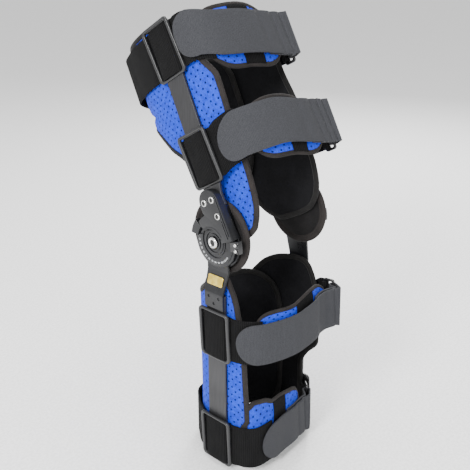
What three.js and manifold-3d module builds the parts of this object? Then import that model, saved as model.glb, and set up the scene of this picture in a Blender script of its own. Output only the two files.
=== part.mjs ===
// Hinged knee brace, worn with the knee a little bent. Millimetres, +Z up.
// The origin is the middle of the knee, on the axis of both hinges, which runs along X.
// The front of the leg faces -Y, the outer side of the leg -X, the inner side +X.
// Thigh and calf pieces are made in the frame of their own limb: x across, y back, s up the limb.
import * as THREE from 'three';
import { mergeVertices } from 'three/addons/utils/BufferGeometryUtils.js';
import Module from 'manifold-3d';

const wasm = await Module();
wasm.setup();

// Driving dimensions of the limbs
const thighLean = 29.2;        // degrees that the top of the thigh leans back
const calfLean = 1.8;          // degrees that the top of the calf leans back
const thighHeight = 231;       // knee axis to the top edge of the thigh wrap
const calfHeight = 257;        // knee axis to the bottom edge of the calf wrap
const thighBack = 79.5;        // knee axis to the back of the thigh wrap
const thighDepth = 178;        // front to back of the whole thigh section
const calfBack = 56.5;
const calfDepth = 121;
const sectionPower = 2.5;      // 2 is an ellipse, more is squarer

// Stand-off of the strap guides from the middle plane of the knee, and how it changes up the limb
const thighGuideOut = 65;
const thighOuterFlare = -0.037;
const thighInnerFlare = 0.05;
const calfGuideOut = 70;
const calfOuterFlare = 0.0235;
const calfInnerFlare = -0.03;
const thighBarSetForward = 16.5;  // the thigh bars run in front of the axis, the calf bars through it

// Soft goods
const fit = 0.3;               // running gap between pieces that touch
const lapRoom = 2.2;           // room between curved layers that lie over each other
const wrapWall = 3;
const strapWidth = 50;         // straps that run through the guides
const frontStrapWidth = 46;    // straps across the front
const strapThick = 1.8;
const padThick = 5;
const padHeight = 70;
const hingePadRadius = 40;
const hingePadRise = 4;        // the pads sit a little above the axis, the inner one also further forward
const innerPadForward = 10;
const hingePadThick = 5.6;
const tuckReach = 52;          // length over which the wraps come in beside the knee

// Bars and strap guides
const barWidth = 27;
const barThick = 3;
const guideHeight = 58;
const guideWidth = 44;
const guideRail = 4;
const guideThick = 3.5;
const guideCorner = 5;
const guideRound = 0.9;
const guideSlack = 1;          // room above and below a strap in its guide

// Hinges: distances out from the middle plane of the knee
const hingeOut = 58.6;         // inner face of the hinge
const plateThick = 2;          // back plate of the upper arm
const lowerArmThick = 2.5;
const dialThick = 2.8;
const coverThick = 3.5;        // front plate of the upper arm
const dialRadius = 28;
const dialStepRadius = 25.5;
const dialStep = 1;
const dialHubRadius = 13;
const dialHubRise = 1;
const coverOpening = 15;       // radius of the window round the hub
const lowerArmDisc = 24;
const lowerArmWidth = 30;
const slopeTop = 32;           // the lower arm steps outwards between these depths
const slopeBottom = 55;
const lowerArmLength = 73;
const pivotRadius = 4;
const pivotHeadRadius = 6.2;
const pivotHeadRise = 2.6;
const pivotFlange = 1;
const armRivetRadius = 2.2;
const armRivetHead = 3.4;
const armRivetRise = 1.3;
const pivotBore = 2;
const labelLength = 21.5;
const labelHeight = 10.5;
const labelRise = 2;            // its middle lies this far above the middle of the slope
const labelThick = 0.8;
const dimpleRadius = 1.7;
const dimpleDepth = 0.9;

// Range stops, in degrees round the axis from the back of the limb upwards
const flexStopFrom = 36;
const flexStopTo = 68;
const flexStopInner = 21;
const flexStopOuter = 31;
const extendStopFrom = 192;
const extendStopTo = 213;
const extendStopInner = 30;
const extendStopOuter = 37.5;
const stopPinRadius = 1.6;
const stopPinRise = 1.5;

// Rings at the inner front, which the grey straps turn round
const ringLength = 14;
const ringHeight = 57;
const ringBar = 3;
const ringThick = 3;

const colours = {
  foam: { color: 0x3d63d8, roughness: 0.85, metalness: 0 },
  webbing: { color: 0x4f5156, roughness: 0.8, metalness: 0 },
  elastic: { color: 0x141416, roughness: 0.9, metalness: 0 },
  padding: { color: 0x1b1a1b, roughness: 0.92, metalness: 0 },
  bar: { color: 0x4a4846, roughness: 0.5, metalness: 0.6 },
  plastic: { color: 0x26282b, roughness: 0.45, metalness: 0 },
  guide: { color: 0x3b3d40, roughness: 0.5, metalness: 0 },
  steel: { color: 0xd5d5d2, roughness: 0.25, metalness: 1 },
  gold: { color: 0xd8b455, roughness: 0.35, metalness: 0.8 },
};

const rad = THREE.MathUtils.degToRad;
const lerp = THREE.MathUtils.lerp;
const OUTER = -1;              // sides of the leg, as the sign of x
const INNER = 1;

// Limbs
const thigh = {
  name: 'thigh', up: 1, height: thighHeight, guideOut: thighGuideOut,
  flare: { [OUTER]: thighOuterFlare, [INNER]: thighInnerFlare },
  back: thighBack, depth: thighDepth, barY: -thighBarSetForward, tuckFrom: hingePadRadius + 3 * hingePadRise,
};
const calf = {
  name: 'calf', up: -1, height: calfHeight, guideOut: calfGuideOut,
  flare: { [OUTER]: calfOuterFlare, [INNER]: calfInnerFlare },
  back: calfBack, depth: calfDepth, barY: 0, tuckFrom: dialRadius,
};
const limbGroups = { thigh: new THREE.Group(), calf: new THREE.Group() };
limbGroups.thigh.rotation.x = -rad(thighLean);
limbGroups.calf.rotation.x = -rad(calfLean);

const brace = new THREE.Group();
brace.name = 'knee_brace';
brace.add(limbGroups.thigh, limbGroups.calf);

function add(limb, name, geometry, finish) {
  const mesh = new THREE.Mesh(geometry, new THREE.MeshStandardMaterial(colours[finish]));
  mesh.name = name;
  limbGroups[limb.name].add(mesh);
  return mesh;
}

// Interpolates a table of rows by its first column
function fromTable(rows, key, value, at) {
  let i = 0;
  while (i < rows.length - 2 && at > rows[i + 1][key]) i += 1;
  const a = rows[i];
  const b = rows[i + 1];
  const share = THREE.MathUtils.clamp((at - a[key]) / (b[key] - a[key]), 0, 1);
  return lerp(a[value], b[value], share);
}

// Layers between the guides and the leg, measured out from the knee's middle plane
const underGuide = guideThick + fit;
const underBar = underGuide + barThick + fit;
const halfStep = wrapWall + lapRoom;  // the inner half of a wrap lies outside the outer half
const guideFace = (limb, side, s) => limb.guideOut + limb.flare[side] * Math.abs(s);
const barOut = (limb, side, s) => guideFace(limb, side, s) - underGuide;

// Beside the knee the thigh wrap lies inside the hinge pads and the calf wrap outside them
const pivotInner = hingeOut - fit - pivotFlange;
const padOut = pivotInner - fit;
const wrapAtKnee = {
  thigh: padOut - hingePadThick - 3 * fit - wrapWall / 2,
  calf: padOut + 3 * fit + wrapWall / 2,
};
function wrapOut(limb, side, s) {
  const free = guideFace(limb, side, s) - underBar - wrapWall / 2;
  const way = (limb.up * s - limb.tuckFrom) / tuckReach;
  return lerp(wrapAtKnee[limb.name], free, THREE.MathUtils.smoothstep(way, 0, 1));
}

// Half widths and centre of a limb's section, taken at the middle of the outer half's wall
function section(limb, s) {
  const outer = wrapOut(limb, OUTER, s);
  const inner = wrapOut(limb, INNER, s) - halfStep;
  const halfDepth = limb.depth / 2;
  return { x: (inner - outer) / 2, halfWidth: (inner + outer) / 2, y: limb.back - halfDepth, halfDepth };
}

// One point of a section: 90 degrees is the outer side, 0 the back, -90 the inner side
function sectionPoint(limb, s, angle, offset) {
  const form = section(limb, s);
  const lean = (wrapOut(limb, OUTER, s + 1) - wrapOut(limb, OUTER, s - 1)) / 2;
  const power = 2 / sectionPower;
  const across = Math.sign(Math.sin(angle)) * Math.abs(Math.sin(angle)) ** power;
  const along = Math.sign(Math.cos(angle)) * Math.abs(Math.cos(angle)) ** power;
  return new THREE.Vector3(
    form.x - (form.halfWidth + offset * Math.hypot(1, lean)) * across,
    form.y + (form.halfDepth + offset) * along,
    s,
  );
}

// Points of a section by distance along it, from the middle of the outer side towards the back
const sectionSteps = 180;
function sectionTrack(limb, s) {
  const track = [];
  let run = 0;
  let last = null;
  for (let i = 0; i <= sectionSteps; i += 1) {
    const angle = Math.PI * (1 - 2 * i / sectionSteps);
    const point = sectionPoint(limb, s, angle, 0);
    if (last) run += point.distanceTo(last);
    last = point;
    track.push({ angle, run });
  }
  const side = fromTable([...track].reverse().map((t) => ({ a: t.angle, run: t.run })), 'a', 'run', Math.PI / 2);
  return track.map((t) => ({ angle: t.angle, run: t.run - side }));
}
function alongSection(limb, s, run, offset) {
  return sectionPoint(limb, s, fromTable(sectionTrack(limb, s), 'run', 'angle', run), offset);
}
function runAtDepth(limb, s, y) {
  const form = section(limb, s);
  const share = THREE.MathUtils.clamp((y - form.y) / form.halfDepth, -1, 1);
  const angle = Math.acos(Math.sign(share) * Math.abs(share) ** (sectionPower / 2));
  return fromTable([...sectionTrack(limb, s)].reverse(), 'angle', 'run', angle);
}
function girth(limb, s) {
  const track = sectionTrack(limb, s);
  return track[track.length - 1].run - track[0].run;
}

// Closed wall of even thickness on a grid of points, columns by rows
function wall(grid, thick) {
  const columns = grid.length;
  const rows = grid[0].length;
  const positions = [];
  const index = [];
  for (const face of [1, -1]) {
    for (let i = 0; i < columns; i += 1) {
      for (let j = 0; j < rows; j += 1) {
        const along = grid[Math.min(i + 1, columns - 1)][j].clone().sub(grid[Math.max(i - 1, 0)][j]);
        const up = grid[i][Math.min(j + 1, rows - 1)].clone().sub(grid[i][Math.max(j - 1, 0)]);
        const normal = along.cross(up).normalize();
        positions.push(...grid[i][j].clone().addScaledVector(normal, face * thick / 2));
      }
    }
  }
  const id = (face, i, j) => (face * columns + i) * rows + j;
  const quad = (a, b, c, d) => index.push(a, b, c, a, c, d);
  for (let i = 0; i + 1 < columns; i += 1) {
    for (let j = 0; j + 1 < rows; j += 1) {
      quad(id(0, i, j), id(0, i + 1, j), id(0, i + 1, j + 1), id(0, i, j + 1));
      quad(id(1, i, j), id(1, i, j + 1), id(1, i + 1, j + 1), id(1, i + 1, j));
    }
    quad(id(0, i, 0), id(1, i, 0), id(1, i + 1, 0), id(0, i + 1, 0));
    quad(id(0, i, rows - 1), id(0, i + 1, rows - 1), id(1, i + 1, rows - 1), id(1, i, rows - 1));
  }
  for (let j = 0; j + 1 < rows; j += 1) {
    quad(id(0, 0, j), id(0, 0, j + 1), id(1, 0, j + 1), id(1, 0, j));
    quad(id(0, columns - 1, j), id(1, columns - 1, j), id(1, columns - 1, j + 1), id(0, columns - 1, j + 1));
  }
  return facingOut(closed(positions, index));
}

function closed(positions, index) {
  const geometry = new THREE.BufferGeometry();
  geometry.setAttribute('position', new THREE.Float32BufferAttribute(positions, 3));
  geometry.setIndex(index);
  return geometry;
}

function volumeOf(geometry) {
  const p = geometry.attributes.position;
  const index = geometry.index.array;
  const corner = [0, 1, 2].map(() => new THREE.Vector3());
  let sum = 0;
  for (let i = 0; i < index.length; i += 3) {
    corner.forEach((v, k) => v.fromBufferAttribute(p, index[i + k]));
    sum += corner[0].dot(corner[1].clone().cross(corner[2])) / 6;
  }
  return sum;
}

function facingOut(geometry) {
  if (volumeOf(geometry) < 0) turnFaces(geometry);
  return geometry;
}

function turnFaces(geometry) {
  const index = geometry.index.array;
  for (let i = 0; i < index.length; i += 3) [index[i + 1], index[i + 2]] = [index[i + 2], index[i + 1]];
}

// Solids of the hinges and guides are made in (out, y, s), then put on a side of the leg
function toSolid(geometry) {
  const bare = geometry.clone();
  bare.deleteAttribute('normal');
  bare.deleteAttribute('uv');
  const merged = mergeVertices(bare, 1e-4);
  return new wasm.Manifold(new wasm.Mesh({
    numProp: 3,
    vertProperties: new Float32Array(merged.attributes.position.array),
    triVerts: new Uint32Array(merged.index.array),
  }));
}
function fromSolid(solid) {
  const mesh = solid.getMesh();
  return closed(Array.from(mesh.vertProperties), Array.from(mesh.triVerts));
}
function onSide(solid, side) {
  const geometry = fromSolid(solid);
  geometry.scale(side, 1, 1);
  if (side < 0) turnFaces(geometry);
  return geometry;
}
function swapAxes(geometry, order) {
  const p = geometry.attributes.position;
  for (let i = 0; i < p.count; i += 1) {
    const from = [p.getX(i), p.getY(i), p.getZ(i)];
    p.setXYZ(i, from[order[0]], from[order[1]], from[order[2]]);
  }
  return geometry;
}
function extruded(shape, depth, options) {
  return new THREE.ExtrudeGeometry(shape, { depth, bevelEnabled: false, curveSegments: 4, ...options });
}
// A shape drawn in (y, s), standing out from one distance to another
function standing(shape, from, to, curveSegments = 4) {
  return toSolid(swapAxes(extruded(shape, to - from, { curveSegments }).translate(0, 0, from), [2, 0, 1]));
}
// A profile drawn in (s, out), as wide as the limb's bar or arm
function profiled(shape, from, to) {
  return toSolid(swapAxes(extruded(shape, to - from).translate(0, 0, from), [1, 2, 0]));
}
function turned(profile, sides) {
  const points = profile.map(([radius, out]) => new THREE.Vector2(radius, out));
  return toSolid(swapAxes(new THREE.LatheGeometry(points, sides), [1, 2, 0]));
}
function polygon(points) {
  return new THREE.Shape(points.map(([a, b]) => new THREE.Vector2(a, b)));
}
function disc(radius, y = 0, s = 0) {
  return new THREE.Shape().absarc(y, s, radius, 0, 2 * Math.PI, false);
}
function roundedBox(halfWidth, halfHeight, corner, y = 0, s = 0, kind = THREE.Shape) {
  const shape = new kind();
  shape.absarc(y + halfWidth - corner, s - halfHeight + corner, corner, -Math.PI / 2, 0, false);
  shape.absarc(y + halfWidth - corner, s + halfHeight - corner, corner, 0, Math.PI / 2, false);
  shape.absarc(y - halfWidth + corner, s + halfHeight - corner, corner, Math.PI / 2, Math.PI, false);
  shape.absarc(y - halfWidth + corner, s - halfHeight + corner, corner, Math.PI, 1.5 * Math.PI, false);
  shape.closePath();
  return shape;
}
function ringSector(inner, outer, from, to) {
  const shape = new THREE.Shape();
  shape.absarc(0, 0, outer, rad(from), rad(to), false);
  shape.absarc(0, 0, inner, rad(to), rad(from), true);
  shape.closePath();
  return shape;
}

// Levels out from the knee's middle plane through a hinge
const discFace = hingeOut + plateThick + fit;
const dialFace = discFace + lowerArmThick + fit;
const coverFace = dialFace + dialThick + fit;
const hingeFront = coverFace + coverThick;
const housing = dialRadius + 2 * fit;
const armLeft = -thighBarSetForward - barWidth / 2;
const armRight = -thighBarSetForward + barWidth / 2;
const housingFloor = 31;       // below this the upper arm fills the room behind the thigh bar's end
const armTop = 52;
const armFoot = -5;
const armRivets = [
  { name: 'back', y: -thighBarSetForward + 5.8, s: 40 },
  { name: 'front', y: -thighBarSetForward - 6.6, s: 40.2 },
  { name: 'low', y: -thighBarSetForward - 6.6, s: 22.8 },
];
const barEndOut = hingeOut + fit;

function upperArmOutline() {
  const round = barWidth / 2;
  const shape = new THREE.Shape();
  shape.moveTo(armLeft, armFoot);
  shape.lineTo(-coverOpening * 0.7, armFoot * 0.7);
  shape.lineTo(7.5, 20);
  shape.lineTo(7.5, 25.6);
  shape.lineTo(-4.5, 28.6);
  shape.lineTo(armRight, 31.5);
  shape.absarc(armRight - round, armTop - round, round, 0, Math.PI, false);
  shape.closePath();
  return shape;
}

function upperArm() {
  const outline = upperArmOutline();
  const cover = standing(outline, coverFace, hingeFront, 5);
  const body = standing(outline, barEndOut + barThick + fit, coverFace + 0.2, 5)
    .subtract(standing(disc(housing), hingeOut - 1, coverFace, 10));
  const lowBox = polygon([[armLeft, armFoot], [armRight, armFoot], [armRight, housingFloor], [armLeft, housingFloor]]);
  const low = standing(outline, hingeOut, coverFace, 5)
    .intersect(standing(lowBox, hingeOut, coverFace))
    .subtract(standing(disc(housing), hingeOut + plateThick, coverFace + 1, 10));
  const back = standing(disc(housing + 0.6), hingeOut, hingeOut + plateThick, 9);
  let arm = cover.add(body).subtract(standing(disc(coverOpening), coverFace - fit, hingeFront + 1, 8));
  arm = arm.add(low).add(back);
  arm = arm.subtract(standing(disc(pivotRadius + fit), hingeOut - 1, hingeFront + 1, 6));
  for (const rivet of armRivets) {
    arm = arm.subtract(standing(disc(armRivetRadius + fit, rivet.y, rivet.s), hingeOut - 1, hingeFront + 1));
  }
  return arm;
}

// Inner face of the lower arm's foot, on whichever end of it the bar stands further out
const armFootOut = (side) => Math.max(barOut(calf, side, slopeBottom), barOut(calf, side, lowerArmLength)) + fit;
function lowerArm(side) {
  const foot = armFootOut(side);
  const profile = polygon([
    [lowerArmDisc, discFace], [-slopeTop, discFace], [-slopeBottom, foot], [-lowerArmLength, foot],
    [-lowerArmLength, foot + lowerArmThick], [-slopeBottom - 1, foot + lowerArmThick],
    [-slopeTop - 1, discFace + lowerArmThick], [lowerArmDisc, discFace + lowerArmThick],
  ]);
  const half = lowerArmWidth / 2;
  const plan = new THREE.Shape();
  const shoulder = Math.acos(half / lowerArmDisc);
  plan.absarc(0, 0, lowerArmDisc, -shoulder, Math.PI + shoulder, false);
  plan.lineTo(-half, -slopeTop);
  plan.lineTo(-barWidth / 2, -slopeBottom);
  plan.lineTo(-barWidth / 2, -lowerArmLength);
  plan.lineTo(barWidth / 2, -lowerArmLength);
  plan.lineTo(barWidth / 2, -slopeBottom);
  plan.lineTo(half, -slopeTop);
  plan.closePath();
  let arm = profiled(profile, -lowerArmDisc - 1, lowerArmDisc + 1)
    .intersect(standing(plan, discFace - 1, foot + lowerArmThick + 1, 9));
  arm = arm.subtract(standing(disc(pivotRadius + fit), discFace - 1, dialFace + 1, 6));
  for (const [y, s] of [[-7.2, -60.5], [7.2, -60.5], [0, -67.5]]) {
    const from = foot + lowerArmThick - dimpleDepth;
    arm = arm.subtract(standing(disc(dimpleRadius, y, s), from, from + dimpleDepth + 1));
  }
  return arm;
}

// Plate on the sloping part of the outer lower arm
function label() {
  const foot = armFootOut(OUTER);
  const top = [discFace + lowerArmThick, -slopeTop - 1];
  const bottom = [foot + lowerArmThick, -slopeBottom - 1];
  const slope = Math.atan2(bottom[0] - top[0], top[1] - bottom[1]);
  const off = fit + labelThick / 2;
  const along = [Math.sin(slope), Math.cos(slope)].map((part) => part * labelRise);
  return toSolid(new THREE.BoxGeometry(labelThick, labelLength, labelHeight))
    .rotate([0, -THREE.MathUtils.radToDeg(slope), 0])
    .translate([
      (top[0] + bottom[0]) / 2 + off * Math.cos(slope) - along[0], 0,
      (top[1] + bottom[1]) / 2 + off * Math.sin(slope) + along[1],
    ]);
}

function dial() {
  const hub = coverFace - fit + dialHubRise;
  const face = coverFace - fit;
  const bore = pivotRadius + fit;
  return turned([
    [bore, dialFace], [dialRadius, dialFace], [dialRadius, face - dialStep], [dialStepRadius, face - dialStep],
    [dialStepRadius, face], [dialHubRadius, face], [dialHubRadius, hub], [bore, hub], [bore, dialFace],
  ], 24);
}

function pivot() {
  const seat = coverFace + dialHubRise;
  const top = seat + pivotHeadRise;
  return turned([
    [0, pivotInner], [pivotHeadRadius, pivotInner], [pivotHeadRadius, pivotInner + pivotFlange],
    [pivotRadius, pivotInner + pivotFlange], [pivotRadius, seat], [pivotHeadRadius, seat],
    [pivotHeadRadius, seat + pivotHeadRise * 0.4], [pivotHeadRadius * 0.75, top], [pivotBore, top],
    [pivotBore, seat - 1], [0, seat - 1],
  ], 12);
}

function armRivet(rivet) {
  const behind = (rivet.s > housingFloor ? barEndOut : hingeOut) - fit;
  const seat = hingeFront + fit;
  const top = seat + armRivetRise;
  return turned([
    [0, behind - 0.7], [armRivetHead, behind - 0.7], [armRivetHead, behind], [armRivetRadius, behind],
    [armRivetRadius, seat], [armRivetHead, seat], [armRivetHead * 0.8, top], [0, top],
  ], 8).translate([0, rivet.y, rivet.s]);
}

function flexStop() {
  const top = hingeFront - fit;
  const clip = standing(ringSector(dialRadius + fit, flexStopOuter, flexStopFrom, flexStopTo), dialFace, top);
  const wedge = standing(ringSector(flexStopInner, dialRadius + 2 * fit, flexStopFrom, flexStopTo), coverFace, top);
  return clip.add(wedge);
}

function extendStop() {
  const top = hingeFront - 1;
  const block = standing(ringSector(extendStopInner, extendStopOuter, extendStopFrom, extendStopTo), dialFace, top);
  const finger = standing(ringSector(dialStepRadius, extendStopInner + 1, extendStopFrom, extendStopTo), coverFace, top);
  let stop = block.add(finger);
  const reach = (extendStopInner + extendStopOuter) / 2;
  for (const share of [0.25, 0.75]) {
    const angle = rad(lerp(extendStopFrom, extendStopTo, share));
    const place = disc(stopPinRadius, reach * Math.cos(angle), reach * Math.sin(angle));
    stop = stop.add(standing(place, top - 1, top + stopPinRise, 3));
  }
  return stop;
}

function hingePad(side) {
  const outer = padOut;
  const inner = outer - hingePadThick;
  const edge = hingePadThick * 0.3;
  return turned([
    [0, inner], [hingePadRadius * 0.86, inner], [hingePadRadius, inner + edge], [hingePadRadius, outer - edge],
    [hingePadRadius * 0.93, outer], [0, outer],
  ], 20).translate([0, side === INNER ? -innerPadForward : 0, hingePadRise]);
}

// Bars
function bar(limb, side, from, to, bend) {
  const outs = bend.concat([[to, barOut(limb, side, to) - barThick]]);
  const inner = outs.map(([s, out]) => [limb.up * s, out]);
  const outerLine = [...outs].reverse().map(([s, out]) => [limb.up * s, out + barThick]);
  const points = inner.concat(outerLine);
  if (limb.up < 0) points.reverse();
  return profiled(polygon(points), limb.barY - barWidth / 2, limb.barY + barWidth / 2);
}
// Depths between which a thigh bar steps from the hinge's level to its own
const barJog = { [OUTER]: [45, 53.5], [INNER]: [armTop + 1, 60] };
const barTopInset = 4;
const guideLevels = {
  upper_thigh: { limb: thigh, s: 197.6 },
  lower_thigh: { limb: thigh, s: 83.2 },
  upper_calf: { limb: calf, s: -104 },
  lower_calf: { limb: calf, s: -233 },
};
const thighBarEnd = guideLevels.upper_thigh.s + guideHeight / 2 - barTopInset;
const calfBarEnd = -guideLevels.lower_calf.s + guideHeight / 2 - barTopInset;
const calfBarStart = slopeBottom + 2;

function thighBar(side) {
  let solid = bar(thigh, side, housingFloor + fit, thighBarEnd, [
    [housingFloor + fit, barEndOut], [barJog[side][0], barEndOut],
    [barJog[side][1], barOut(thigh, side, barJog[side][1]) - barThick],
  ]);
  for (const rivet of armRivets.filter((r) => r.s > housingFloor)) {
    solid = solid.subtract(standing(disc(armRivetRadius + fit, rivet.y, rivet.s), hingeOut - 2, hingeFront));
  }
  return solid;
}
function calfBar(side) {
  return bar(calf, side, calfBarStart, calfBarEnd, [[calfBarStart, barOut(calf, side, calfBarStart) - barThick]]);
}

// Strap guide: a rounded frame that clips over the bar, lying along the guide plane
function guide(limb, side, s) {
  const shape = roundedBox(guideWidth / 2 - guideRound, guideHeight / 2 - guideRound, guideCorner);
  const hole = roundedBox(guideWidth / 2 - guideRail + guideRound, strapWidth / 2 + guideSlack + guideRound,
    guideCorner / 2, 0, 0, THREE.Path);
  shape.holes.push(hole);
  const options = {
    bevelEnabled: true, bevelThickness: guideRound, bevelSize: guideRound, bevelSegments: 1, curveSegments: 1,
  };
  const body = extruded(shape, guideThick - 2 * guideRound, options).translate(0, 0, guideRound - guideThick);
  const solid = toSolid(swapAxes(body, [2, 0, 1]));
  const tilt = Math.atan(limb.flare[side] * limb.up);
  return solid.rotate([0, THREE.MathUtils.radToDeg(tilt), 0])
    .translate([guideFace(limb, side, s), limb.barY, s]);
}

// Wrap halves. Edges by column: at runs from -1, the front edge, through 0, the middle of the half's own
// side, to 1, its far end past the back. knee and far are shares of the limb's wrap height.
const wrapHalves = [
  {
    name: 'thigh_wrap_outer', limb: thigh, side: OUTER, reach: 0.445,
    front: [{ up: 0, y: -0.31 }, { up: 0.12, y: -0.335 }, { up: 0.3, y: -0.36 }, { up: 0.65, y: -0.38 },
      { up: 0.78, y: -0.31 }, { up: 1, y: -0.31 }],
    columns: [
      { at: -1, knee: 0.09, far: 0.9 }, { at: -0.93, knee: 0.03, far: 0.92 }, { at: -0.78, knee: -0.015, far: 0.945 },
      { at: -0.45, knee: -0.036, far: 0.97 }, { at: -0.15, knee: -0.03, far: 0.99 }, { at: 0.03, knee: 0.03, far: 1 },
      { at: 0.06, knee: 0.17, far: 1 }, { at: 0.085, knee: 0.29, far: 1 }, { at: 0.12, knee: 0.38, far: 1 },
      { at: 0.2, knee: 0.45, far: 1 }, { at: 0.26, knee: 0.51, far: 1 }, { at: 0.35, knee: 0.57, far: 1 },
      { at: 0.46, knee: 0.59, far: 1 }, { at: 0.58, knee: 0.57, far: 0.97 }, { at: 0.66, knee: 0.49, far: 0.94 },
      { at: 0.72, knee: 0.37, far: 0.92 }, { at: 0.78, knee: 0.26, far: 0.9 }, { at: 0.84, knee: 0.21, far: 0.88 },
      { at: 0.9, knee: 0.215, far: 0.87 },
      { at: 0.96, knee: 0.27, far: 0.84 }, { at: 1, knee: 0.36, far: 0.78 },
    ],
  },
  {
    name: 'thigh_wrap_inner', limb: thigh, side: INNER, reach: 0.27,
    front: [{ up: 0, y: -0.33 }, { up: 0.21, y: -0.372 }, { up: 0.5, y: -0.325 }, { up: 0.65, y: -0.29 },
      { up: 1, y: -0.27 }],
    columns: [
      { at: -1, knee: 0.17, far: 0.86 }, { at: -0.9, knee: 0.08, far: 0.875 }, { at: -0.72, knee: 0.02, far: 0.88 },
      { at: -0.45, knee: -0.015, far: 0.88 }, { at: -0.1, knee: -0.022, far: 0.885 },
      { at: 0.14, knee: -0.018, far: 0.89 }, { at: 0.25, knee: 0.012, far: 0.9 }, { at: 0.34, knee: 0.07, far: 0.91 },
      { at: 0.4, knee: 0.15, far: 0.92 }, { at: 0.46, knee: 0.3, far: 0.93 }, { at: 0.55, knee: 0.44, far: 0.945 },
      { at: 0.68, knee: 0.56, far: 0.965 }, { at: 0.85, knee: 0.59, far: 0.985 },
      { at: 0.96, knee: 0.6, far: 0.98 }, { at: 1, knee: 0.63, far: 0.95 },
    ],
  },
  {
    name: 'calf_wrap_outer', limb: calf, side: OUTER, reach: 0.46,
    front: [{ up: 0, y: -0.2 }, { up: 0.3, y: -0.25 }, { up: 0.42, y: -0.29 }, { up: 0.6, y: -0.31 },
      { up: 0.78, y: -0.33 }, { up: 0.84, y: -0.27 }, { up: 1, y: -0.25 }],
    columns: [
      { at: -1, knee: 0.29, far: 0.99 }, { at: -0.82, knee: 0.225, far: 1 }, { at: -0.6, knee: 0.185, far: 1 },
      { at: -0.35, knee: 0.15, far: 1 }, { at: 0, knee: 0.13, far: 1 }, { at: 0.05, knee: 0.13, far: 1 },
      { at: 0.1, knee: 0.145, far: 1 }, { at: 0.14, knee: 0.175, far: 1 }, { at: 0.18, knee: 0.225, far: 1 },
      { at: 0.24, knee: 0.255, far: 1 }, { at: 0.35, knee: 0.275, far: 1 }, { at: 0.54, knee: 0.285, far: 1 },
      { at: 0.7, knee: 0.285, far: 1 }, { at: 0.83, knee: 0.305, far: 1 }, { at: 0.9, knee: 0.335, far: 0.99 },
      { at: 0.96, knee: 0.38, far: 0.97 }, { at: 1, knee: 0.46, far: 0.92 },
    ],
  },
  {
    name: 'calf_wrap_inner', limb: calf, side: INNER, reach: 0.31,
    front: [{ up: 0.25, y: -0.26 }, { up: 0.45, y: -0.34 }, { up: 0.57, y: -0.33 }, { up: 0.66, y: -0.18 },
      { up: 0.72, y: -0.12 }, { up: 1, y: -0.12 }],
    columns: [
      { at: -1, knee: 0.33, far: 0.99 }, { at: -0.85, knee: 0.262, far: 1 }, { at: -0.6, knee: 0.222, far: 1 },
      { at: -0.3, knee: 0.205, far: 1 }, { at: 0, knee: 0.202, far: 1 }, { at: 0.2, knee: 0.218, far: 1 },
      { at: 0.34, knee: 0.248, far: 1 }, { at: 0.42, knee: 0.285, far: 1 }, { at: 0.5, knee: 0.325, far: 1 },
      { at: 0.65, knee: 0.36, far: 1 }, { at: 0.85, knee: 0.38, far: 1 }, { at: 1, knee: 0.42, far: 0.98 },
    ],
  },
];
const wrapRows = 8;
const rowCrowding = 1.35;      // more rows lie towards the knee, where the walls bend

// A distance along a section, run backwards from the middle of either side
function fromSide(limb, side, s, run, offset) {
  const point = side === OUTER ? alongSection(limb, s, run, offset)
    : alongSection(limb, s, girth(limb, s) / 2 - run, offset);
  return point;
}

function wrapHalf(half) {
  const { limb, side } = half;
  const offset = side === OUTER ? 0 : halfStep;
  const grid = half.columns.map((column) => {
    const rows = [];
    for (let j = 0; j <= wrapRows; j += 1) {
      const up = lerp(column.knee, column.far, (j / wrapRows) ** rowCrowding);
      const s = limb.up * up * limb.height;
      let run = column.at * half.reach * girth(limb, s);
      if (column.at < 0) {
        const middle = section(limb, s).y;
        run = column.at * (middle - fromTable(half.front, 'up', 'y', up) * limb.depth);
      }
      rows.push(fromSide(limb, side, s, run, offset));
    }
    return rows;
  });
  return wall(grid, wrapWall);
}
for (const half of wrapHalves) add(half.limb, half.name, wrapHalf(half), 'foam');

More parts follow.
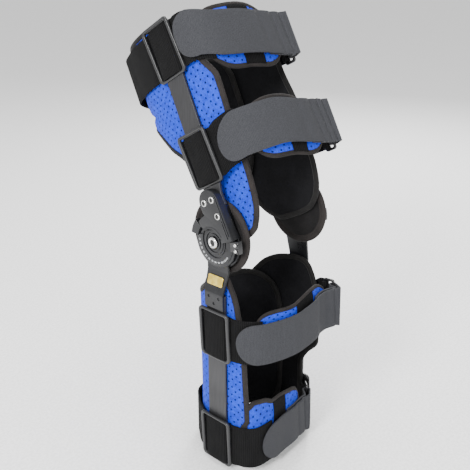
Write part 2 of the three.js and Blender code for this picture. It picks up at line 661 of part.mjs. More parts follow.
// Straps. Route of each across the front, from the outer guide to the ring: across in shares of the
// guides' stand-off, ahead in shares of the limb's depth. lift: how far the strap rises on its way across,
// in shares of its width. tip: where the front strap starts on the route, in mm. lap: how far the loop
// strap reaches along the route, in mm. pad: where the pad under them starts and ends, as shares of the
// route, padLift how far it sits above them, in mm. drop: how far the inner guide sits below the outer one,
// in mm.
const straps = [
  {
    place: 'upper_thigh', tip: 0, lap: 34, pad: [0.28, 0.86], padLift: -1, round: true, drop: 19,
    route: [[-0.82, -0.26], [-0.75, -0.33], [-0.54, -0.389], [-0.15, -0.415], [0.31, -0.42], [0.78, -0.412]],
    lift: [{ across: -0.8, rise: 0 }, { across: -0.5, rise: -0.15 }, { across: 0, rise: -0.22 },
      { across: 0.95, rise: -0.38 }],
    ring: [1.05, -0.345], heading: -82,
  },
  {
    place: 'lower_thigh', tip: 9, lap: 34, pad: [0.25, 0.88], padLift: -3, round: false, drop: 0,
    route: [[-0.87, -0.27], [-0.8, -0.344], [-0.585, -0.433], [-0.185, -0.494], [0.31, -0.51], [0.7, -0.5]],
    lift: [{ across: -0.95, rise: 0 }, { across: -0.75, rise: 0.14 }, { across: -0.3, rise: 0.14 },
      { across: 0.3, rise: 0 }, { across: 1.05, rise: -0.16 }],
    ring: [0.98, -0.43], heading: -82,
  },
  {
    place: 'upper_calf', tip: 7, lap: 34, pad: [0.2, 0.9], padLift: 8, round: false, drop: 0,
    route: [[-0.95, -0.24], [-0.886, -0.328], [-0.714, -0.426], [-0.286, -0.525], [0, -0.533], [0.286, -0.508],
      [0.571, -0.467]],
    lift: [{ across: -1, rise: 0 }, { across: -0.5, rise: 0.04 }, { across: 0, rise: 0.13 },
      { across: 0.4, rise: 0.16 }, { across: 1, rise: 0.14 }],
    ring: [0.87, -0.4], heading: -80,
  },
  {
    place: 'lower_calf', tip: 33, lap: 50, pad: [0.26, 0.9], padLift: 9, round: true, drop: 0,
    route: [[-0.97, -0.24], [-0.93, -0.3], [-0.79, -0.37], [-0.5, -0.385], [-0.214, -0.36], [0.071, -0.35],
      [0.357, -0.32]],
    lift: [{ across: -1, rise: 0 }, { across: 1, rise: 0 }],
    ring: [0.67, -0.235], heading: -130,
  },
];
const flat = (x, y) => new THREE.Vector2(x, y);
const strapOffset = wrapWall / 2 + lapRoom + strapThick / 2;
const layer = strapThick + lapRoom;
const barTurn = ringBar * 0.75 + 3 * fit + strapThick / 2;   // turn of a strap round a ring's bar
const turnSteps = 4;
const returnLap = 42;          // the front strap lies doubled over this length behind its ring
const routeSteps = 14;
const backSteps = 20;

// Points of a strap through a guide, from its front rail to its back rail, as (back, out) of the guide
function throughGuide() {
  const under = -(guideThick + 2 * fit + strapThick / 2);
  const over = -(guideThick - strapThick / 2);
  const between = (guideWidth / 2 - guideRail + barWidth / 2) / 2;
  const half = [[guideWidth / 2 + 1, under - 0.4], [guideWidth / 2 - guideRail / 2, under],
    [between + 0.6, under + 0.2], [between - 0.35, over - 0.5], [between - 2.8, over]];
  return half.map(([y, out]) => [-y, out]).concat([...half].reverse());
}
function guidePoints(limb, side, s) {
  return throughGuide().map(([y, out]) => flat(side * (guideFace(limb, side, s) + out), limb.barY + y));
}

function ringPlace(strap, limb) {
  return {
    centre: flat(strap.ring[0] * limb.guideOut, strap.ring[1] * limb.depth),
    along: flat(Math.cos(rad(strap.heading)), Math.sin(rad(strap.heading))),
  };
}

// The turn round one bar of a ring: way 1 is the front bar, -1 the back bar
function turnRound(strap, limb, way) {
  const { centre, along } = ringPlace(strap, limb);
  const out = flat(-along.y, along.x);
  const middle = centre.clone().addScaledVector(along, way * (ringLength - ringBar) / 2);
  const points = [];
  for (let i = 0; i <= turnSteps; i += 1) {
    const angle = Math.PI * i / turnSteps;
    points.push(middle.clone()
      .addScaledVector(out, barTurn * Math.cos(angle))
      .addScaledVector(along, -way * barTurn * Math.sin(angle)));
  }
  return points;
}

// Middle line of the loop strap's level from the outer guide to the ring
function frontRoute(strap, limb, s) {
  const first = guidePoints(limb, OUTER, s)[0];
  const points = strap.route.map(([across, ahead]) => flat(across * limb.guideOut, ahead * limb.depth));
  const { centre, along } = ringPlace(strap, limb);
  const near = centre.clone().addScaledVector(along, ringLength / 2 + ringBar * 2);
  return new THREE.SplineCurve([first, ...points, near]);
}
// A stretch of a route, set off to the outside
function stretch(route, from, to, count, offset) {
  const points = [];
  for (let i = 0; i <= count; i += 1) {
    const u = lerp(from, to, i / count);
    const heading = route.getTangentAt(u);
    points.push(route.getPointAt(u).addScaledVector(flat(heading.y, -heading.x), offset));
  }
  return points;
}

// Rise of a strap at a point: its lift across the front, an even slope to the inner guide round the back
function riseAt(strap, limb, point) {
  const frontEdge = limb.barY - guideWidth / 2;
  const across = fromTable(strap.lift, 'across', 'rise', point.x / limb.guideOut) * strapWidth;
  const back = -strap.drop * THREE.MathUtils.smoothstep(point.x / limb.guideOut, -0.8, 0.8);
  return lerp(across, back, THREE.MathUtils.smoothstep(point.y, frontEdge - 14, frontEdge));
}

// A ribbon over the points of a route; pointsAt gives them for each height
function ribbon(strap, limb, heights, pointsAt, thick, edgeAt) {
  const columns = heights.map((s) => pointsAt(s));
  const middle = (heights[0] + heights[heights.length - 1]) / 2;
  const grid = columns[0].map((_, i) => heights.map((s, j) => {
    const half = edgeAt ? edgeAt(i) : 1;
    const point = columns[j][i];
    return new THREE.Vector3(point.x, point.y, middle + (s - middle) * half + riseAt(strap, limb, point));
  }));
  return wall(grid, thick);
}

function loopStrap(strap, limb, s) {
  const route = frontRoute(strap, limb, s);
  const front = stretch(route, strap.lap / route.getLength(), 0, 4, 0).slice(0, -1);
  const outer = guidePoints(limb, OUTER, s);
  if (!strap.round) return front.concat(outer);
  return front.concat(outer, roundTheBack(limb, s), innerEnd(strap, limb, s));
}
function roundTheBack(limb, s) {
  const points = [];
  const run = runAtDepth(limb, s, limb.barY + guideWidth / 2 + guideRail * 1.5);
  const whole = girth(limb, s) / 2;
  for (let i = 0; i <= backSteps; i += 1) {
    const at = lerp(run, whole - run, i / backSteps);
    const step = halfStep * THREE.MathUtils.smoothstep(at / (2 * whole), 0.12, 0.18);
    const point = alongSection(limb, s, at, strapOffset + step);
    points.push(flat(point.x, point.y));
  }
  return points;
}
function innerEnd(strap, limb, s) {
  const guided = guidePoints(limb, INNER, s - strap.drop).reverse();
  const turn = turnRound(strap, limb, -1);
  const { along } = ringPlace(strap, limb);
  const tail = turn[turn.length - 1].clone().addScaledVector(along, -ringBar / 3);
  return guided.concat(turn, [tail]);
}

function frontStrap(strap, level) {
  const { limb, s } = level;
  const route = frontRoute(strap, limb, s);
  const length = route.getLength();
  const outside = stretch(route, strap.tip / length, 0.985, routeSteps, layer);
  const turn = turnRound(strap, limb, 1);
  const inside = stretch(route, 0.96, 1 - returnLap / length, 4, 0);
  return outside.concat(turn, inside);
}
// Half height of a strap end: rounded over its first columns
function tipRounding(length) {
  const radius = frontStrapWidth * 0.45;
  return (i) => {
    const way = Math.min((i / routeSteps) * length / radius, 1);
    return lerp(0.42, 1, Math.sqrt(1 - (1 - way) ** 2));
  };
}

function ring(strap, level) {
  const { limb, s } = level;
  const { centre } = ringPlace(strap, limb);
  const shape = roundedBox(ringLength / 2, ringHeight / 2, ringBar);
  shape.holes.push(roundedBox(ringLength / 2 - ringBar, ringHeight / 2 - ringBar, ringBar / 3, 0, 0, THREE.Path));
  const body = extruded(shape, ringThick, { curveSegments: 2 }).translate(0, 0, -ringThick / 2);
  return toSolid(swapAxes(body, [2, 0, 1]))
    .rotate([0, 0, strap.heading + 90])
    .translate([centre.x, centre.y, s + riseAt(strap, limb, centre)]);
}

const padSteps = 12;
const padOffset = -(strapThick / 2 + 2 * fit + padThick / 2);
const padEnd = 0.3;            // share of the full height at a pad's ends
const padEdge = (i) => Math.max(padEnd, (1 - Math.abs(2 * i / padSteps - 1) ** 3) ** 0.5);
for (const strap of straps) {
  const level = guideLevels[strap.place];
  const { limb, s } = level;
  const around = (width) => [s - width / 2, s + width / 2];
  const route = frontRoute(strap, limb, s);
  add(limb, `loop_strap_${strap.place}`,
    ribbon(strap, limb, around(strapWidth), (h) => loopStrap(strap, limb, h), strapThick), 'elastic');
  if (!strap.round) {
    add(limb, `ring_strap_${strap.place}`,
      ribbon(strap, limb, around(strapWidth), (h) => innerEnd(strap, limb, h), strapThick), 'elastic');
  }
  add(limb, `front_strap_${strap.place}`,
    ribbon(strap, limb, around(frontStrapWidth), () => frontStrap(strap, level), strapThick,
      tipRounding(route.getLength())), 'webbing');
  add(limb, `strap_pad_${strap.place}`,
    ribbon(strap, limb, [-0.5, 0, 0.5].map((way) => s + strap.padLift + way * padHeight),
      () => stretch(route, strap.pad[0], strap.pad[1], padSteps, padOffset), padThick, padEdge), 'foam');
  add(limb, `strap_ring_${strap.place}`, fromSolid(ring(strap, level)), 'guide');
}

add(calf, 'label_plate', onSide(label(), OUTER), 'gold');
for (const [side, word] of [[OUTER, 'outer'], [INNER, 'inner']]) {
  add(thigh, `thigh_bar_${word}`, onSide(thighBar(side), side), 'bar');
  add(calf, `calf_bar_${word}`, onSide(calfBar(side), side), 'bar');
  add(thigh, `hinge_upper_arm_${word}`, onSide(upperArm(), side), 'plastic');
  add(calf, `hinge_lower_arm_${word}`, onSide(lowerArm(side), side), 'plastic');
  add(calf, `hinge_dial_${word}`, onSide(dial(), side), 'plastic');
  add(thigh, `hinge_pivot_${word}`, onSide(pivot(), side), 'steel');
  for (const rivet of armRivets) {
    add(thigh, `arm_rivet_${rivet.name}_${word}`, onSide(armRivet(rivet), side), 'steel');
  }
  add(thigh, `flexion_stop_${word}`, onSide(flexStop(), side), 'plastic');
  add(thigh, `extension_stop_${word}`, onSide(extendStop(), side), 'plastic');
  add(thigh, `hinge_pad_${word}`, onSide(hingePad(side), side), 'padding');
  for (const { place, drop } of straps) {
    const { limb, s } = guideLevels[place];
    add(limb, `strap_guide_${place}_${word}`, onSide(guide(limb, side, side === INNER ? s - drop : s), side), 'guide');
  }
}

export default brace;
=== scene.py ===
import functools
import math
import bmesh
import bpy
from mathutils import Matrix, Vector


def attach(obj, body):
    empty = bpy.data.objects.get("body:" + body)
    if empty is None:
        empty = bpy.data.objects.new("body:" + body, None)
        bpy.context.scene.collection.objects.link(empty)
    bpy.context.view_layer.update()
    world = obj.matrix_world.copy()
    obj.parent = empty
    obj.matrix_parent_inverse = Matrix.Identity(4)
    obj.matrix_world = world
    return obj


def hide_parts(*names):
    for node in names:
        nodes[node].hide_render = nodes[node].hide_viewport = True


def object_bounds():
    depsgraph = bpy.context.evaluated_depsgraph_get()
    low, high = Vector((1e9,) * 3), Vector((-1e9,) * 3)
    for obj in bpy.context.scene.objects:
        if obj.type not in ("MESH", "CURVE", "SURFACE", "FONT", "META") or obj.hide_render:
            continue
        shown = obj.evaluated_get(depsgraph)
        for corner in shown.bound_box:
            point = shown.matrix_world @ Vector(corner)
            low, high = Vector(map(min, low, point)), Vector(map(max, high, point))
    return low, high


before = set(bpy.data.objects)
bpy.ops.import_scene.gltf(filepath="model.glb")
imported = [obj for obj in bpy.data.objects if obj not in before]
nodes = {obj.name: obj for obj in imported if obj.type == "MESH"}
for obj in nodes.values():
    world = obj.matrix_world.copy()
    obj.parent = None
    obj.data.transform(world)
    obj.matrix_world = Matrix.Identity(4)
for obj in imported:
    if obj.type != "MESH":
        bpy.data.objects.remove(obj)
cad_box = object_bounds()
MM = 0.001


def in_scene(name, data):
    """A new object in the scene that carries the given data."""
    made = bpy.data.objects.new(name, data)
    bpy.context.scene.collection.objects.link(made)
    return made


def moved(bm, by):
    bmesh.ops.translate(bm, verts=bm.verts, vec=by)


def placed(bm, matrix):
    bmesh.ops.transform(bm, matrix=matrix, verts=bm.verts)


# Camera, floor and light
camera_data = bpy.data.cameras.new("photo_camera")
camera_data.lens = 58.16
camera_data.sensor_width = 36
camera = in_scene("photo_camera", camera_data)
camera.location = Vector((-555.8, -516.3, 296.9)) * MM
look = Vector((-37.0, 0.0, -0.7)) * MM - camera.location
camera.rotation_euler = look.to_track_quat("-Z", "Y").to_euler()
bpy.context.scene.camera = camera


def soft_light(name, place, size, power):
    """A round lamp that looks at the middle of the part."""
    data = bpy.data.lights.new(name, "AREA")
    data.shape = "DISK"
    data.size = size
    data.energy = power
    lamp = in_scene(name, data)
    lamp.location = place
    lamp.rotation_euler = (-Vector(place)).to_track_quat("-Z", "Y").to_euler()


soft_light("key_left", (-1.5, -0.35, 0.9), 0.55, 44)
soft_light("fill_front", (-0.4, -1.7, 0.5), 1.4, 16)
soft_light("top", (0.1, 0.1, 1.7), 1.2, 24)
soft_light("rim_right", (1.3, 0.7, 0.8), 0.6, 24)

world = bpy.data.worlds.new("studio")
world.use_nodes = True
world.node_tree.nodes["Background"].inputs["Color"].default_value = (1, 1, 1, 1)
world.node_tree.nodes["Background"].inputs["Strength"].default_value = 1.1
bpy.context.scene.world = world


# Shader groups and materials
class Tree:
    """Adds and links nodes in one material or group."""

    def __init__(self, tree):
        self.tree = tree

    def node(self, kind, **values):
        made = self.tree.nodes.new(kind)
        for key, value in values.items():
            setattr(made, key, value)
        return made

    def link(self, a, b):
        self.tree.links.new(a, b)

    def feed(self, node, values):
        """Gives a node's inputs their values, or links them where the value is another node's output."""
        for key, value in values.items():
            if isinstance(value, bpy.types.NodeSocket):
                self.link(value, node.inputs[key])
            elif value is not None:
                node.inputs[key].default_value = value
        return node

    def math(self, operation, a, b=None):
        return self.feed(self.node("ShaderNodeMath", operation=operation), {0: a, 1: b}).outputs[0]

    def ramp(self, value, low, high, to_low=0.0, to_high=1.0):
        made = self.node("ShaderNodeMapRange", interpolation_type="SMOOTHSTEP")
        self.feed(made, {"Value": value, "From Min": low, "From Max": high, "To Min": to_low, "To Max": to_high})
        return made.outputs[0]

    def mix(self, share, a, b):
        a, b = ((*tint, 1) if isinstance(tint, tuple) else tint for tint in (a, b))
        return self.feed(self.node("ShaderNodeMix", data_type="RGBA"), {0: share, 6: a, 7: b}).outputs[2]

    def noise(self, vector, scale, detail=2.0):
        made = self.node("ShaderNodeTexNoise")
        return self.feed(made, {"Vector": vector, "Scale": scale, "Detail": detail}).outputs["Fac"]

    def split(self, vector):
        return self.feed(self.node("ShaderNodeSeparateXYZ"), {0: vector}).outputs


def new_group(name, ins, outs):
    group = bpy.data.node_groups.new(name, "ShaderNodeTree")
    for label, kind, value in ins:
        socket = group.interface.new_socket(label, in_out="INPUT", socket_type=kind)
        if value is not None:
            socket.default_value = value
    for label, kind in outs:
        group.interface.new_socket(label, in_out="OUTPUT", socket_type=kind)
    tree = Tree(group)
    return group, tree, tree.node("NodeGroupInput"), tree.node("NodeGroupOutput")


def make_fuzz():
    """Short fibres: a fine height and a cloudy tone, both about a half."""
    group, t, gin, gout = new_group(
        "cloth_fuzz",
        [("Vector", "NodeSocketVector", None), ("Fine", "NodeSocketFloat", 1800.0),
         ("Cloud", "NodeSocketFloat", 60.0)],
        [("Height", "NodeSocketFloat"), ("Tone", "NodeSocketFloat")],
    )
    fine, cloud = (t.noise(gin.outputs["Vector"], gin.outputs[scale], 3) for scale in ("Fine", "Cloud"))
    tone = t.math("ADD", t.math("MULTIPLY", fine, 0.6), t.math("MULTIPLY", cloud, 0.4))
    t.link(fine, gout.inputs["Height"])
    t.link(t.ramp(tone, 0.35, 0.65), gout.inputs["Tone"])
    return group


def make_ribs():
    """Woven ribs: rows along one direction of the cloth and finer threads across them."""
    group, t, gin, gout = new_group(
        "woven_ribs",
        [("UV", "NodeSocketVector", None), ("Rib", "NodeSocketFloat", 1.6), ("Thread", "NodeSocketFloat", 0.7)],
        [("Height", "NodeSocketFloat")],
    )
    parts = t.split(gin.outputs["UV"])
    turns = 2 * math.pi / MM
    rib = t.math("SINE", t.math("MULTIPLY", parts["X"], t.math("DIVIDE", turns, gin.outputs["Rib"])))
    thread = t.math("SINE", t.math("MULTIPLY", parts["Y"], t.math("DIVIDE", turns, gin.outputs["Thread"])))
    both = t.math("ADD", t.math("MULTIPLY", rib, 0.35), t.math("MULTIPLY", thread, 0.15))
    t.link(t.math("ADD", both, 0.5), gout.inputs["Height"])
    return group


LATTICE_TURN, HOLE_PITCH, HOLE_SIZE, LINING_HOLE_SIZE = 42, 6.7, 1.0, 0.85


def make_perforations():
    """Round holes on a square lattice laid at a slant: 1 in a hole, 0 between them."""
    group, t, gin, gout = new_group(
        "perforations",
        [("UV", "NodeSocketVector", None), ("Pitch", "NodeSocketFloat", HOLE_PITCH),
         ("Hole", "NodeSocketFloat", HOLE_SIZE)],
        [("Hole", "NodeSocketFloat"), ("Rim", "NodeSocketFloat")],
    )
    turn = t.node("ShaderNodeVectorRotate", rotation_type="Z_AXIS")
    t.feed(turn, {"Vector": gin.outputs["UV"], "Angle": math.radians(LATTICE_TURN)})
    parts = t.split(turn.outputs[0])
    away = []
    for label in ("X", "Y"):
        cell = t.math("FRACT", t.math("DIVIDE", t.math("DIVIDE", parts[label], MM), gin.outputs["Pitch"]))
        off = t.math("MULTIPLY", t.math("SUBTRACT", cell, 0.5), gin.outputs["Pitch"])
        away.append(t.math("MULTIPLY", off, off))
    distance = t.math("SQRT", t.math("ADD", away[0], away[1]))
    share = t.math("DIVIDE", distance, gin.outputs["Hole"])
    t.link(t.ramp(share, 0.75, 1.05, 1, 0), gout.inputs["Hole"])
    # Rim: a ring round each hole; it carries painted shade on the foam and the lining, and the lining's bump.
    t.link(t.ramp(share, 1.0, 1.9, 1, 0), gout.inputs["Rim"])
    return group


FUZZ = make_fuzz()
RIBS = make_ribs()
PERFORATIONS = make_perforations()


class Finish(Tree):
    """One material: a Principled shader with its own colour, roughness and bump."""

    def __init__(self, name, roughness, metallic=0.0, sheen=0.0, specular=0.5):
        self.material = bpy.data.materials.new(name)
        self.material.use_nodes = True
        super().__init__(self.material.node_tree)
        self.shader = self.feed(self.tree.nodes["Principled BSDF"], {
            "Roughness": roughness, "Metallic": metallic, "Specular IOR Level": specular, "Sheen Weight": sheen,
            "Sheen Roughness": 0.4})
        coordinates = self.node("ShaderNodeTexCoord")
        self.uv = coordinates.outputs["UV"]
        self.place = coordinates.outputs["Object"]

    def group(self, group, vector, **values):
        return self.feed(self.node("ShaderNodeGroup", node_tree=group), {0: vector, **values})

    def colour(self, value):
        self.link(value, self.shader.inputs["Base Color"])

    def rough(self, value):
        self.link(value, self.shader.inputs["Roughness"])

    def bump(self, *layers):
        """Layers of (height, depth in mm, strength), one over the other."""
        under = None
        for height, depth, strength in layers:
            made = self.feed(self.node("ShaderNodeBump"), {
                "Distance": depth * MM, "Strength": strength, "Height": height, "Normal": under})
            under = made.outputs["Normal"]
        self.link(under, self.shader.inputs["Normal"])


PERFORATED_FUZZ = (0.25, 0.5)


def foam_finish():
    f = Finish("blue_perforated_foam", 0.85, sheen=0.05, specular=0.12)
    fuzz = f.group(FUZZ, f.place, Fine=1500, Cloud=220)
    holes = f.group(PERFORATIONS, f.uv, Pitch=HOLE_PITCH, Hole=HOLE_SIZE)
    cloth = f.mix(fuzz.outputs["Tone"], (0.004, 0.021, 0.36), (0.012, 0.055, 0.64))
    # Painted shade: the blue darkens in a ring round each hole.
    cloth_with_rim_shade = f.mix(f.math("MULTIPLY", holes.outputs["Rim"], 0.35), cloth, (0.004, 0.016, 0.26))
    # Painted shade: each hole is painted near-black for the shade down inside it, over the black lining behind it.
    f.colour(f.mix(holes.outputs["Hole"], cloth_with_rim_shade, (0.001, 0.0015, 0.009)))
    pit = f.math("SUBTRACT", 1, holes.outputs["Hole"])
    f.bump((fuzz.outputs["Height"], *PERFORATED_FUZZ), (pit, 0.8, 0.8))
    return f.material


def lining_finish():
    f = Finish("black_brushed_lining", 0.95, sheen=0.03, specular=0.1)
    fuzz = f.group(FUZZ, f.place, Fine=1500, Cloud=50)
    holes = f.group(PERFORATIONS, f.uv, Pitch=HOLE_PITCH, Hole=LINING_HOLE_SIZE)
    base = f.mix(fuzz.outputs["Tone"], (0.0045, 0.0045, 0.0052), (0.009, 0.009, 0.0105))
    # Painted shade: the lining darkens in a ring round each hole.
    f.colour(f.mix(f.math("MULTIPLY", holes.outputs["Rim"], 0.25), base, (0.004, 0.004, 0.005)))
    f.bump((fuzz.outputs["Height"], *PERFORATED_FUZZ), (f.math("SUBTRACT", 1, holes.outputs["Rim"]), 0.2, 0.35))
    return f.material


def cloth_finish(name, roughness, sheen, specular, tones, fuzz, ribs=None):
    """Plain cloth: tones (dark, pale), fuzz (fine, cloud, depth, strength).

    ribs: (rib, thread, depth, strength), then the share and the tint of a painted highlight on their crests, where
    one is given.
    """
    f = Finish(name, roughness, sheen=sheen, specular=specular)
    fine, cloud, fuzz_depth, fuzz_strength = fuzz
    fibres = f.group(FUZZ, f.place, Fine=fine, Cloud=cloud)
    base = f.mix(fibres.outputs["Tone"], *tones)
    layers = [(fibres.outputs["Height"], fuzz_depth, fuzz_strength)]
    if ribs:
        rib, thread, depth, strength, *crest_highlight = ribs
        height = f.group(RIBS, f.uv, Rib=rib, Thread=thread).outputs["Height"]
        layers.insert(0, (height, depth, strength))
        if crest_highlight:
            # Painted highlight: the rib crests are tinted lighter by their height.
            base = f.mix(f.math("MULTIPLY", height, crest_highlight[0]), base, crest_highlight[1])
    f.colour(base)
    f.bump(*layers)
    return f.material


def bar_finish():
    f = Finish("satin_dark_bar", 0.42, metallic=0.35)
    grain = f.feed(f.node("ShaderNodeMapping"), {"Vector": f.place, "Scale": (1, 18, 0.4)})
    streak = f.noise(grain.outputs[0], 90, 3)
    f.colour(f.mix(f.ramp(streak, 0.35, 0.65), (0.018, 0.018, 0.0195), (0.031, 0.031, 0.033)))
    f.rough(f.ramp(f.noise(f.place, 30, 3), 0.3, 0.7, 0.36, 0.52))
    f.bump((streak, 0.08, 0.4))
    return f.material


def hard_finish(name, tones, rough, cloud, grain, metallic=0.0, specular=0.5):
    """A smooth surface: tones (dark, pale), rough (low, high).

    cloud gives (scale, detail) of its patches, grain (scale, depth, strength) of its bump.
    """
    f = Finish(name, rough[0], metallic, specular=specular)
    patches = f.noise(f.place, *cloud)
    f.colour(f.mix(f.ramp(patches, 0.3, 0.7), *tones))
    if rough[1] > rough[0]:
        f.rough(f.ramp(patches, 0.3, 0.7, *rough))
    scale, depth, strength = grain
    f.bump((f.noise(f.place, scale), depth, strength))
    return f.material


FOAM = foam_finish()
LINING = lining_finish()
BINDING_FUZZ, BINDING_RIBS = (1500, 80, 0.15, 0.4), (0.9, 1.3, 0.25, 0.6)
BINDING = cloth_finish("dark_bound_edge", 0.8, 0.05, 0.15, ((0.010, 0.0088, 0.0085), (0.023, 0.0195, 0.0185)),
                       BINDING_FUZZ, BINDING_RIBS)
BLACK_BINDING = cloth_finish("black_bound_edge", 0.8, 0.05, 0.15,
                             ((0.005, 0.0048, 0.0048), (0.0115, 0.0108, 0.0105)), BINDING_FUZZ, BINDING_RIBS)
# The webbing's last two rib values are the share and tint of a painted highlight on its rib crests.
WEBBING = cloth_finish("grey_loop_webbing", 0.82, 0.04, 0.12, ((0.021, 0.0215, 0.0245), (0.038, 0.039, 0.0435)),
                       (1500, 900, 0.35, 0.6), (1.5, 1.1, 0.4, 0.7, 0.3, (0.058, 0.0595, 0.066)))
# The elastic's last two rib values are the share and tint of a painted highlight on its rib crests.
ELASTIC = cloth_finish("black_ribbed_elastic", 0.9, 0.01, 0.06, ((0.0022, 0.0022, 0.0025), (0.0055, 0.0055, 0.006)),
                       (1400, 70, 0.2, 0.4), (2.1, 0.8, 0.6, 1.0, 0.45, (0.019, 0.0188, 0.0186)))
PADDING = cloth_finish("black_padded_cloth", 0.9, 0.05, 0.12, ((0.005, 0.0048, 0.005), (0.013, 0.0122, 0.0125)),
                       (1500, 70, 0.3, 0.6))
BAR = bar_finish()
MOULDED_CLOUD, MOULDED_GRAIN = (45, 3), (1400, 0.1, 0.45)
METAL_CLOUD, METAL_GRAIN = (160, 3), (900, 0.03, 0.4)
PLAIN_CLOUD, PLAIN_GRAIN = (300, 2), (1500, 0.04, 0.3)
PLASTIC = hard_finish("charcoal_hinge_plastic", ((0.0062, 0.0065, 0.0076), (0.0112, 0.0117, 0.0134)), (0.26, 0.4),
                      MOULDED_CLOUD, MOULDED_GRAIN, specular=0.36)
GUIDE = hard_finish("grey_guide_plastic", ((0.0075, 0.0077, 0.0085), (0.0135, 0.0138, 0.015)), (0.34, 0.48),
                    MOULDED_CLOUD, MOULDED_GRAIN)
RING = hard_finish("black_ring_plastic", ((0.008, 0.008, 0.009), (0.014, 0.014, 0.015)), (0.25, 0.4),
                   MOULDED_CLOUD, MOULDED_GRAIN)
STEEL = hard_finish("polished_rivet_steel", ((0.62, 0.62, 0.61), (0.82, 0.82, 0.81)), (0.12, 0.26),
                    METAL_CLOUD, METAL_GRAIN, metallic=1)
GOLD = hard_finish("pale_gold_plate", ((0.90, 0.66, 0.12), (1.0, 0.8, 0.22)), (0.3, 0.42),
                   METAL_CLOUD, METAL_GRAIN, metallic=1)


def plain_finish(name, tint, roughness):
    darker = tuple(c * 0.86 for c in tint)
    return hard_finish(name, (darker, tint), (roughness, roughness), PLAIN_CLOUD, PLAIN_GRAIN)


MARKS = plain_finish("pale_dial_marks", (0.62, 0.64, 0.66), 0.5)
# Painted shade: near-black discs in the rivet bores and the dial's index hole stand for the shade inside them.
SHADOW = plain_finish("painted_bore_shade", (0.006, 0.006, 0.006), 0.7)

FLOOR_GAP = 0.004      # metres
floor_mesh = bpy.data.meshes.new("studio_floor")
floor_bm = bmesh.new()
bmesh.ops.create_grid(floor_bm, x_segments=1, y_segments=1, size=6)
moved(floor_bm, (0, 0, cad_box[0][2] - FLOOR_GAP))
floor_bm.to_mesh(floor_mesh)
floor_bm.free()
floor = in_scene("studio_floor", floor_mesh)
floor_mesh.materials.append(plain_finish("pale_floor", (0.93, 0.93, 0.93), 0.7))

# Sizes, in millimetres
OUTER, INNER = -1, 1
SIDES = ((OUTER, "outer"), (INNER, "inner"))
FIT, LAP_ROOM = 0.3, 2.2
WALL, STRAP, STRAP_WIDTH, FRONT_WIDTH = 3.0, 1.8, 50.0, 46.0
PAD_THICK, PAD_HEIGHT = 5.0, 70.0
PAD_RADIUS, PAD_RISE, PAD_FORWARD, HINGE_PAD = 40.0, 4.0, 10.0, 5.6
TUCK_REACH, SECTION_POWER = 52.0, 2.5
BAR_WIDTH, BAR_THICK = 27.0, 3.0
GUIDE_HEIGHT, GUIDE_WIDTH, GUIDE_RAIL, GUIDE_THICK = 58.0, 44.0, 4.0, 3.5
HINGE_OUT, PLATE, ARM, DIAL, COVER = 58.6, 2.0, 2.5, 2.8, 3.5
DIAL_RADIUS = 28.0
RING_LENGTH, RING_HEIGHT, RING_BAR, RING_THICK = 14.0, 57.0, 3.0, 3.0
HALF_STEP = WALL + LAP_ROOM
UNDER_GUIDE = GUIDE_THICK + FIT
UNDER_BAR = UNDER_GUIDE + BAR_THICK + FIT
PAD_OUT = HINGE_OUT - 2 * FIT - 1.0
DISC_FACE = HINGE_OUT + PLATE + FIT
DIAL_FACE = DISC_FACE + ARM + FIT
COVER_FACE = DIAL_FACE + DIAL + FIT
HINGE_FRONT = COVER_FACE + COVER

THIGH = dict(
    name="thigh", up=1, height=231.0, lean=29.2, guide=65.0, flare={OUTER: -0.037, INNER: 0.05}, back=79.5,
    depth=178.0, bar=-16.5, tuck=PAD_RADIUS + 3 * PAD_RISE, knee=PAD_OUT - HINGE_PAD - 3 * FIT - WALL / 2,
    body="thigh_side",
)
CALF = dict(
    name="calf", up=-1, height=257.0, lean=1.8, guide=70.0, flare={OUTER: 0.0235, INNER: -0.03}, back=56.5,
    depth=121.0, bar=0.0, tuck=DIAL_RADIUS, knee=PAD_OUT + 3 * FIT + WALL / 2, body="calf_side",
)


# Pieces
def turn_of(limb):
    """From a limb's own millimetres to the frame's metres."""
    return Matrix.Rotation(-math.radians(limb["lean"]), 4, "X") @ Matrix.Scale(MM, 4)


def piece(name, bm, limb, finishes, slot, replaced=(), turned=True, smooth=None):
    """Puts a form made in a limb's own frame into the scene as a finished piece."""
    if turned:
        placed(bm, turn_of(limb))
    mesh = bpy.data.meshes.new(name)
    bm.to_mesh(mesh)
    bm.free()
    for finish in finishes:
        mesh.materials.append(finish)
    mesh.polygons.foreach_set("use_smooth", [True] * len(mesh.polygons))
    if smooth is not None:
        mesh.set_sharp_from_angle(angle=math.radians(smooth))
    made = in_scene(name, mesh)
    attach(made, limb["body"] if isinstance(limb, dict) else limb)
    if replaced:
        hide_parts(*replaced)
    return made


def thickened(made, thick):
    """Gives a cloth piece its thickness, half to each side."""
    wall = made.modifiers.new("thickness", "SOLIDIFY")
    wall.thickness = thick * MM
    wall.offset = 0
    return wall


def bevelled(made, width, angle):
    """Rounds a piece's edges with a modifier that the export keeps."""
    bevel = made.modifiers.new("rounded_edges", "BEVEL")
    bevel.width = width * MM
    bevel.segments = 2
    bevel.limit_method = "ANGLE"
    bevel.angle_limit = math.radians(angle)
    return bevel


def node_form(node):
    """A node's own triangles, joined at their corners."""
    bm = bmesh.new()
    bm.from_mesh(nodes[node].data)
    bmesh.ops.remove_doubles(bm, verts=bm.verts, dist=1e-6)
    return bm


def node_copy(name, node, body, finish, slot, width):
    """A copy of a hard node with rounded edges."""
    bm = node_form(node)
    bmesh.ops.dissolve_limit(bm, angle_limit=math.radians(0.5), verts=bm.verts, edges=bm.edges)
    made = piece(name, bm, body, [finish], slot, [node], turned=False, smooth=30)
    bevelled(made, width, 30).harden_normals = True


# The limbs' sections
def smoothstep(x, low, high):
    way = min(max((x - low) / (high - low), 0.0), 1.0)
    return way * way * (3 - 2 * way)


